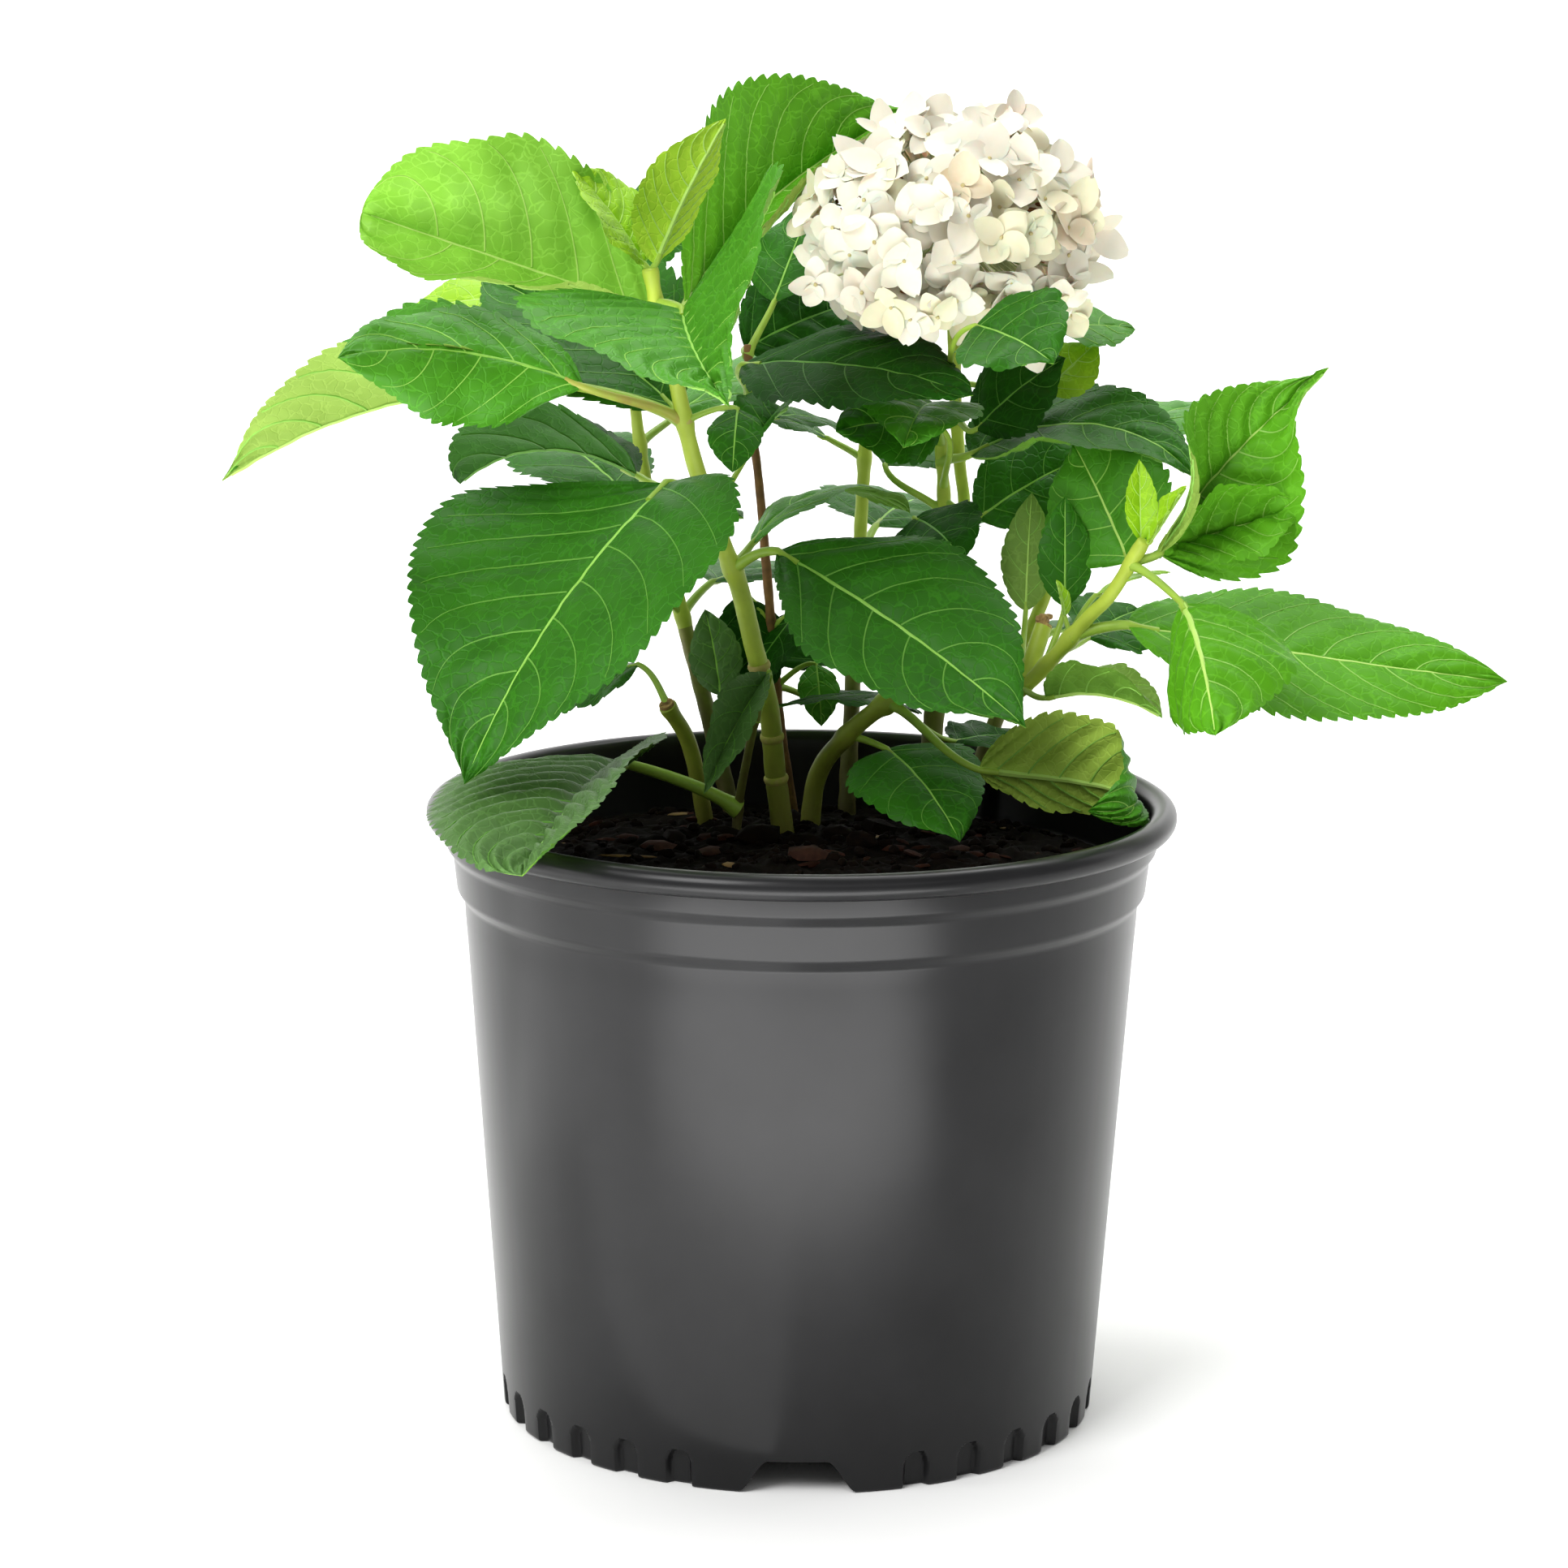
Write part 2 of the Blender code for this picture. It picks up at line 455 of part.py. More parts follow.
def cane_stretch(points, radii, first, last, steps):
    """The line and radii of one stretch of a cane, its ends half a gap short of the cut."""
    dense = smooth_path(points)
    gone = np.concatenate([[0], np.cumsum(np.linalg.norm(np.diff(dense, axis=0), axis=1))])
    a = gone[12 * first] + (0 if first == 0 else GAP / 2)
    b = gone[12 * last] - (0 if last == len(points) - 1 else GAP / 2)
    inner = np.linspace(a, b, steps + 1)
    # a short straight run at each end keeps the two cut faces square to the same direction
    at = np.unique(np.concatenate([[a, a + 0.6], inner[1:-1], [b - 0.6, b]]))
    line = np.stack([np.interp(at, gone, dense[:, k]) for k in range(3)], axis=1)
    return line, radii[0] + (radii[1] - radii[0]) * at / gone[-1]


def blade_steps(one):
    """Where a blade is cut along and across: more often in a long one."""
    if one["length"] < 50:
        return (0.1, 0.36, 0.64, 0.88), (-1, 0, 1)
    if one["length"] < 84:
        return (0.08, 0.3, 0.58, 0.85), (-1, -0.5, 0, 0.5, 1)
    return (0.07, 0.24, 0.46, 0.69, 0.89), (-1, -0.55, 0, 0.55, 1)


def blade_solid(one):
    """A leaf blade as a thin closed lens, thickest along the midrib."""
    thick = max(1.4, 0.0125 * one["length"])
    steps, sides = blade_steps(one)
    grid, _ = blade_points(one, steps, sides)
    ends, face = blade_points(one, (0, 1), (0,))
    along = np.gradient(grid, axis=0)
    across = np.gradient(grid, axis=1)
    out = np.cross(across, along)
    out = out / np.linalg.norm(out, axis=2)[:, :, None]
    share = (1 - np.abs(np.array(sides)) ** 2.5)[None, :, None]
    top, under = grid + out * share * thick / 2, grid - out * share * thick / 2
    rows, cols = len(steps), len(sides)
    points = [ends[0, 0], ends[1, 0]]
    upper, lower = {}, {}
    for i in range(rows):
        for j in range(cols):
            upper[i, j] = len(points)
            points.append(top[i, j])
            if j in (0, cols - 1):
                lower[i, j] = upper[i, j]
            else:
                lower[i, j] = len(points)
                points.append(under[i, j])
    faces = []
    for mark, flip in ((upper, False), (lower, True)):
        part = []
        for j in range(cols - 1):
            part.append((0, mark[0, j + 1], mark[0, j]))
            part.append((1, mark[rows - 1, j], mark[rows - 1, j + 1]))
            for i in range(rows - 1):
                a, b, c, d = mark[i, j], mark[i, j + 1], mark[i + 1, j + 1], mark[i + 1, j]
                part += [(a, b, c), (a, c, d)]
        faces += [f[::-1] if flip else f for f in part]
    return points, faces


def stalk_solid(one):
    """A leaf stalk from well inside its stem to a little way along the midrib."""
    line = petiole_path(one, 2 if one["length"] < 70 else 3)
    mids, _ = blade_points(one, (0.12,), (0,))
    line = np.vstack([line, mids[:, 0]])
    thick = 1.15 + 0.009 * one["length"]
    return tube(line, np.linspace(thick * 1.15, thick * 0.6, len(line)), 3)


def outward(obj):
    """Turn a closed mesh right side out."""
    import bmesh
    work = bmesh.new()
    work.from_mesh(obj.data)
    bmesh.ops.recalc_face_normals(work, faces=work.faces)
    work.to_mesh(obj.data)
    work.free()


def settle(obj):
    """Make an object's modifiers real and clear them."""
    graph = bpy.context.evaluated_depsgraph_get()
    mesh = bpy.data.meshes.new_from_object(obj.evaluated_get(graph))
    obj.modifiers.clear()
    obj.data = mesh


def fuse(obj, pieces, way="UNION", solver="EXACT"):
    """Join the pieces to an object, or cut them from it, and clear them away."""
    group = bpy.data.collections.new(obj.name + " pieces")
    bpy.context.scene.collection.children.link(group)
    for piece in pieces:
        outward(piece)
        bpy.context.scene.collection.objects.unlink(piece)
        group.objects.link(piece)
    cut = obj.modifiers.new("join", "BOOLEAN")
    cut.operation = way
    cut.solver = solver
    cut.operand_type = "COLLECTION"
    cut.collection = group
    bpy.context.view_layer.update()
    settle(obj)
    for piece in pieces:
        bpy.data.objects.remove(piece, do_unlink=True)
    bpy.data.collections.remove(group)


# Pot
plastic = paint("pot_plastic", (0.035, 0.035, 0.036), 0.38)
angles = []
for k in range(FLUTES):
    middle = 2 * math.pi * k / FLUTES - math.pi / 2
    half = FLUTE_WIDE / 2 / 112
    beside_arch = k % (FLUTES // 2) in (0, 1, FLUTES // 2 - 1)      # a plain pad stands there
    angles += [(middle - half, 0), (middle + half, 0)]
    if not beside_arch:
        angles.insert(-1, (middle, 1))
profile = list(POT_OUTSIDE)
for turn in (-50, 15, 80, 145):
    t = math.radians(turn)
    profile.append((RIM_AT[0] + RIM_TUBE * math.cos(t), RIM_AT[1] + RIM_TUBE * math.sin(t)))
profile += list(POT_INSIDE)
points, faces = [], []
for r, z in profile:
    outer = r < 113.5 and z < FLUTE_HIGH
    for t, deep in angles:
        rr = r - FLUTE_DEEP * deep if outer and (r, z) != POT_INSIDE[-1] else r
        points.append((rr * math.cos(t), rr * math.sin(t), z))
around = len(angles)
for i in range(len(profile) - 1):
    for k in range(around):
        a, b = i * around + k, i * around + (k + 1) % around
        faces.append((a, b, b + around, a + around))
faces.append(tuple(range(around))[::-1])
top = (len(profile) - 1) * around
faces.append(tuple(top + k for k in range(around)))
pot = solid("pot", points, faces, plastic)
outward(pot)
cutters = []
for way in (-1, 1):
    foot, head, high = ARCH
    ring = [(-foot / 2 - 0.6, -1), (foot / 2 + 0.6, -1), (head / 2, high), (-head / 2, high)]
    block = [(x, way * y, z) for y in (106, 120) for x, z in ring]
    cutters.append(solid("arch", block, [(0, 1, 2, 3), (7, 6, 5, 4), (0, 4, 5, 1), (1, 5, 6, 2),
                                         (2, 6, 7, 3), (3, 7, 4, 0)], plastic, False))
fuse(pot, cutters, "DIFFERENCE")

# Soil, filling the pot up to a low mound, with a socket for the foot of each cane
earth = paint("soil", (0.020, 0.012, 0.008), 0.95)


def soil_level(x, y):
    """Height of the soil: a low mound with soft lumps."""
    r = math.hypot(x, y) / 126
    return (SOIL_MIDDLE - (SOIL_MIDDLE - SOIL_EDGE) * min(1, r) ** 1.6
            + (1 - min(1, r) ** 4) * 1.6 * math.sin(x * 0.11 + 1.3) * math.cos(y * 0.13 + 0.4))


def inside_radius(z):
    """The pot's inner radius at a height."""
    rows = sorted((h, r) for r, h in POT_INSIDE)
    return float(np.interp(z, [h for h, _ in rows], [r for _, r in rows]))


points, faces, spokes = [(0, 0, soil_level(0, 0))], [], 24
rings = [0.33, 0.67, 1.0]
for share in rings:
    for k in range(spokes):
        t = 2 * math.pi * k / spokes
        r = share * (inside_radius(SOIL_EDGE) - 1.0)
        x, y = r * math.cos(t), r * math.sin(t)
        points.append((x, y, soil_level(x, y)))
for z in (193.5, 24, FLOOR + GAP + 0.2):
    for k in range(spokes):
        t = 2 * math.pi * k / spokes
        r = inside_radius(z) - 1.0
        points.append((r * math.cos(t), r * math.sin(t), z))
for k in range(spokes):
    faces.append((0, 1 + k, 1 + (k + 1) % spokes))
    for i in range(len(rings) + 2):
        a, b = 1 + i * spokes + k, 1 + i * spokes + (k + 1) % spokes
        faces.append((a, a + spokes, b + spokes, b))
last = 1 + (len(rings) + 2) * spokes
faces.append(tuple(last + k for k in range(spokes))[::-1])
soil = solid("soil", points, faces, earth)
outward(soil)
sockets = []
for points_on, foot, tip, pieces in CANES.values():
    if points_on[0][2] < 206:
        x, y, z = points_on[0]
        ahead = (np.array(points_on[1]) - np.array(points_on[0])).astype(float)
        ahead = ahead / np.linalg.norm(ahead)
        base = np.array(points_on[0], float)
        line = [base - GAP * np.array([0, 0, 1.0]), base + ahead * 30]
        sockets.append(solid("socket", *tube(line, [foot + 0.9, foot + 0.9], 8), earth, False))
fuse(soil, sockets, "DIFFERENCE")

# Canes, and the masses of leaves that grow on them
bark = {"main_cane": ("cane_green", (0.30, 0.42, 0.09)), "brown_cane": ("cane_brown", (0.19, 0.09, 0.05)),
        "brown_cane_upper": ("cane_brown_upper", (0.19, 0.09, 0.05))}
leaf_colour = {"leaves_main_top": (0.12, 0.38, 0.05), "leaves_right_top": (0.16, 0.42, 0.06),
               "leaves_right_middle": (0.12, 0.36, 0.05)}
for points_on, foot, tip, pieces in CANES.values():
    for name, first, last in pieces:
        if name == "bloom_head":
            continue
        line, radii = cane_stretch(points_on, (foot, tip), first, last, 3 * (last - first))
        mass = [one for one in LEAVES if one["mass"] == name]
        if mass:
            mat = paint(name, leaf_colour.get(name, (0.05, 0.22, 0.03)), 0.5)
        else:
            mat = paint(name, bark.get(name, ("", (0.24, 0.34, 0.09)))[1], 0.6)
        stem = solid(name, *tube(line, radii, 8 if not mass else 6), mat)
        outward(stem)
        if not mass:
            continue
        parts = []
        if name == "leaves_right_middle":
            stub = [(84, 19, 274), (86, 25, 280), (91, 31, 294)]
            parts.append(solid("stub", *tube(stub, [3.6, 3.5, 3.3], 7), mat))
        for one in mass:
            parts.append(solid(one["name"], *blade_solid(one), mat))
            parts.append(solid(one["name"] + " stalk", *stalk_solid(one), mat))
        fuse(stem, parts)
        stem.data.shade_smooth()
        stem.data.set_sharp_from_angle(angle=math.radians(38))

# The bloom head: a rounded core, the florets that stand on it, and the top of its stalk
petal = paint("bloom_head", (0.84, 0.82, 0.73), 0.6)
points, faces, rows, cols = [], [], 6, 10
for i in range(1, rows):
    a = math.pi * i / rows
    for k in range(cols):
        t = 2 * math.pi * k / cols
        way = np.array([math.sin(a) * math.cos(t), math.sin(a) * math.sin(t), math.cos(a)])
        points.append(np.array(BLOOM_CENTRE) + 0.83 * way * np.array(BLOOM_HALF))
points.append(np.array(BLOOM_CENTRE) + (0, 0, 0.83 * BLOOM_HALF[2]))
points.append(np.array(BLOOM_CENTRE) - (0, 0, 0.83 * BLOOM_HALF[2]))
for k in range(cols):
    n = (k + 1) % cols
    faces.append((len(points) - 2, k, n))
    faces.append((len(points) - 1, (rows - 2) * cols + n, (rows - 2) * cols + k))
    for i in range(rows - 2):
        faces.append((i * cols + k, (i + 1) * cols + k, (i + 1) * cols + n, i * cols + n))
head = solid("bloom_head", points, faces, petal)
outward(head)
points_on, foot, tip, pieces = CANES["bloom"]
line, radii = cane_stretch(points_on, (foot, tip), 4, 5, 3)
parts = [solid("stalk", *tube(line, radii, 7), petal)]
for place, way, wide, turn in floret_places(56, 5):
    side = np.cross(way, (0.31, 0.2, 0.93))
    side = side / np.linalg.norm(side)
    up = np.cross(way, side)
    ring = []
    for k in range(8):
        t = math.radians(turn + 45 * k)
        r = wide / 2 * (1.0 if k % 2 == 0 else 0.64)
        ring.append(place + r * (side * math.cos(t) + up * math.sin(t)) + way * (0.8 if k % 2 == 0 else 0))
    tip_in = place - way * 15
    pts = ring + [place + way * 0.7, tip_in]
    fcs = [(k, (k + 1) % 8, 8) for k in range(8)] + [((k + 1) % 8, k, 9) for k in range(8)]
    parts.append(solid("floret", pts, fcs, petal, False))
fuse(head, parts)
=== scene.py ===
# %% [markdown]
# # A potted hydrangea, dressed leaf by leaf
# The frame holds the plant as plain solids: a pot, its soil, ten stretches of cane, fifteen masses of
# leaves and one bloom. This lesson grows the real surfaces on them. Every leaf is worked out by the
# same rule that made its solid, only with far more points, so each blade lies where its mass lies.

# %% Load the frame
import math
import random

import bpy
import numpy as np
from mathutils import Matrix, Vector, noise


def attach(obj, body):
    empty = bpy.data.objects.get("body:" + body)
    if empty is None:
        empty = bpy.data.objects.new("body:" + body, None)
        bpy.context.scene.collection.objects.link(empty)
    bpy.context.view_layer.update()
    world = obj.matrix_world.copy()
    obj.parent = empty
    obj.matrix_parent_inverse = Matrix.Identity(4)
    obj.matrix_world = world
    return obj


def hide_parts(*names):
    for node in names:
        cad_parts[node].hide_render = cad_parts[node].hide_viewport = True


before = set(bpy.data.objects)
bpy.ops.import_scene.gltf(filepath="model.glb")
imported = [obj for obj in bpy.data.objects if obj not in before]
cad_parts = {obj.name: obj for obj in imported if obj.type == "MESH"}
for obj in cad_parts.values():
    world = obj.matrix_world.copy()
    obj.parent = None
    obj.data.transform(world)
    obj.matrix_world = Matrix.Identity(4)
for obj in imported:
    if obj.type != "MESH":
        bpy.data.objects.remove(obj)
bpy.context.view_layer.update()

MM = 0.001

# %% [markdown]
# ## The rule the plant grows by
# All sizes are real ones in millimetres. A hydrangea carries its leaves in pairs on upright canes, each
# pair at right angles to the one below. A leaf is told by its node, its stalk and its blade, and a
# blade can droop, sweep aside, twist, and fold along its midrib. Small functions turn such a row into
# points, so the same row can give a coarse solid or a fine surface.

# %% Directions and curves
def unit(v):
    """Directions of length one from an array of vectors."""
    return v / np.maximum(np.linalg.norm(v, axis=-1, keepdims=True), 1e-9)


def aim(heading, rise):
    """Unit direction from a compass heading (0 right, 90 back) and a rise above level."""
    h, r = math.radians(heading), math.radians(rise)
    return np.array([math.cos(h) * math.cos(r), math.sin(h) * math.cos(r), math.sin(r)])


SPAN_STEPS = 12                 # points to each span of a cane


def smooth_path(points):
    """Closely stepped points on a smooth curve that passes through the given ones."""
    p = np.array(points, float)
    p = np.vstack([2 * p[0] - p[1], p, 2 * p[-1] - p[-2]])
    t = np.arange(SPAN_STEPS)[:, None] / SPAN_STEPS
    spans = [0.5 * (2 * b + (c - a) * t + (2 * a - 5 * b + 4 * c - d) * t * t
                    + (3 * b - a - 3 * c + d) * t ** 3)
             for a, b, c, d in zip(p, p[1:], p[2:], p[3:])]
    return np.vstack(spans + [p[-2]])


def petiole_path(leaf, steps):
    """The stalk from its node to the foot of the blade, leaving steeply and easing over."""
    a, b = leaf["node"], leaf["foot"]
    reach = np.linalg.norm(b - a)
    away = unit(b - a)
    start = unit(away + leaf["lift"] * np.array([0, 0, 1.0])) * reach
    end = unit(away + aim(leaf["heading"], leaf["rise"] + leaf["droop"] * 0.5)) * reach
    t = np.arange(steps + 1)[:, None] / steps
    return ((2 * t ** 3 - 3 * t * t + 1) * a + (t ** 3 - 2 * t * t + t) * start
            + (3 * t * t - 2 * t ** 3) * b + (t ** 3 - t * t) * end)

# %% Blades
def heading_at(leaf, u):
    """The way a blade heads at a share of its length; a curled tip turns late."""
    return leaf["heading"] + leaf["sweep"] * (u ** 3 if leaf["curled"] else u - 0.5)


BLADE_STEPS = 40                # steps from foot to tip in which a blade turns


def blade_frames(leaf):
    """Shares of a blade's length, with its midrib, its side and its face at each."""
    u = np.linspace(0, 1, BLADE_STEPS + 1)
    ahead = np.array([aim(heading_at(leaf, m), leaf["rise"] + leaf["droop"] * (0.5 - m))
                      for m in (u[1:] + u[:-1]) / 2])
    line = np.vstack([leaf["foot"], leaf["foot"] + np.cumsum(ahead, axis=0) * leaf["length"] / BLADE_STEPS])
    tangents = unit(np.vstack([ahead[:1], (ahead[1:] + ahead[:-1]) / 2, ahead[-1:]]))
    side, face = [], []
    for share, t in zip(u, tangents):
        h = math.radians(heading_at(leaf, share))
        level = np.array([math.sin(h), -math.cos(h), 0.0])
        level = unit(level - t * level.dot(t))
        r = math.radians(leaf["roll"] + leaf["twist"] * (share - 0.5))
        side.append(level * math.cos(r) + np.cross(level, t) * math.sin(r))
        face.append(np.cross(side[-1], t))
    return u, line, np.array(side), np.array(face)


def half_width(leaf, u):
    """Half the blade's breadth at a share u of its length."""
    a, b = leaf["blunt"], leaf["point"]
    peak = a / (a + b)
    top = peak ** a * (1 - peak) ** b
    return 0.5 * leaf["width"] * (np.clip(u, 0, 1) ** a * np.clip(1 - u, 0, 1) ** b) / top


FOLD_STEPS = 24                 # steps from midrib to margin in which a blade folds up


def blade_points(leaf, us, ws):
    """Points over the blade; w runs from -1 on the left margin to 1 on the right one."""
    u, *frames = blade_frames(leaf)
    us, ws = np.asarray(us, float), np.asarray(ws, float)
    p, s, n = (np.stack([np.interp(us, u, rows[:, k]) for k in range(3)], axis=1) for rows in frames)
    wide = half_width(leaf, us)
    steps = np.linspace(0, 1, FOLD_STEPS + 1)
    out = np.zeros((len(us), len(ws), 3))
    for j, w in enumerate(ws):
        sign = 1 if w >= 0 else -1
        near, edge = leaf["right"] if w >= 0 else leaf["left"]
        fold = np.radians(near + (edge - near) * (steps[1:] + steps[:-1]) / 2)
        across, up = (np.interp(abs(w), steps, np.concatenate([[0], np.cumsum(part) / FOLD_STEPS]))
                      for part in (np.cos(fold), np.sin(fold)))
        kept = leaf["trim"][0 if w >= 0 else 1]
        out[:, j] = p + kept * wide[:, None] * (s * across * sign + n * up)
    return out, n

# %% [markdown]
# ## Where the canes run
# Canes are told by the points they pass, which is shorter and easier to change than a drawn curve. The
# breadth at foot and tip gives the taper, and the last entry says which solid each stretch belongs to.

# %% The canes and the bloom's place
# Each cane: the points it passes, its radius at foot and tip, and the solids it is divided into
# (name, first point, last point). A solid whose name starts with leaves is a mass's own stem.
CANES = {
    "main": (((-6, 46, 203), (-10, 42, 234), (-13, 36, 262), (-19, 30, 287), (-24, 26, 308),
              (-32, 20, 330), (-39, 14, 351), (-43, 10, 366), (-49, 4, 395), (-53, 1, 408),
              (-57, -2, 430)), 4.3, 2.6,
             (("main_cane", 0, 4), ("leaves_main_low", 4, 7), ("leaves_main_middle", 7, 9),
              ("leaves_main_top", 9, 10))),
    "brown": (((-2, 84, 203), (-9, 76, 250), (-13, 73, 296), (-17, 71, 340), (-20, 70, 366),
               (-22, 71, 396)), 2.3, 1.4,
              (("brown_cane", 0, 1), ("leaves_brown_low", 1, 2), ("brown_cane_upper", 2, 3),
               ("leaves_brown_top", 3, 5))),
    "centre": (((46, 70, 203), (52, 68, 260), (56, 70, 316)), 3.7, 4.4, (("centre_cane", 0, 2),)),
    "centre top": (((53.4, 70, 317), (54, 70, 335), (53, 72, 350), (52, 73, 366)), 2.3, 2.0,
                   (("leaves_centre", 0, 3),)),
    "bloom": (((59, 71, 317), (62, 76, 332), (60, 79, 350), (58, 80, 376), (57, 75, 394),
               (55, 56, 419)), 2.4, 2.3,
              (("bloom_stalk", 0, 2), ("leaves_bloom", 2, 4), ("bloom_head", 4, 5))),
    "right": (((3, 57, 203), (6, 55, 230), (17, 45, 248), (31, 36, 262), (44, 32, 269), (63, 27, 270),
               (79, 21, 270), (91, 15, 281), (106, 6, 301), (114, 0, 311), (125, -8, 332)), 3.9, 2.3,
              (("right_cane_foot", 0, 1), ("leaves_low_right", 1, 4), ("right_cane", 4, 6),
               ("leaves_right_middle", 6, 8), ("leaves_right_top", 8, 10))),
    "low left": (((-25, 41, 203), (-24, 40, 222), (-20, 29, 246), (-16, 22, 268)), 1.9, 1.4,
                 (("leaves_low_left", 0, 3),)),
    "stub": (((-36, 68, 203), (-43, 60, 240), (-52, 50, 259)), 3.3, 3.0, (("left_stub_leaf", 0, 2),)),
    "back left": (((-26, 96, 203), (-46, 104, 280), (-58, 106, 320), (-64, 104, 352), (-68, 100, 392)),
                  3.6, 2.0, (("back_left_cane", 0, 1), ("leaves_back_left", 1, 4))),
    "back middle": (((18, 104, 203), (22, 114, 300), (24, 116, 345), (26, 115, 380), (27, 116, 408)),
                    3.6, 2.0, (("back_middle_cane", 0, 1), ("leaves_back_middle", 1, 4))),
    "back right": (((62, 98, 203), (84, 108, 262), (98, 112, 300), (106, 112, 345)), 3.4, 2.0,
                   (("back_right_cane", 0, 1), ("leaves_back_right", 1, 3))),
}

# The bloom is a round head.
BLOOM_CENTRE = (55, 40, 442)
BLOOM_HALF = (59, 50, 44)       # half its breadth, depth and height

# %% [markdown]
# ## Every leaf of the plant
# Leaves could be strewn at random, but a young plant has few and each has its own lean. So every leaf in
# front is one row of sizes and angles, kept by mass and by name.

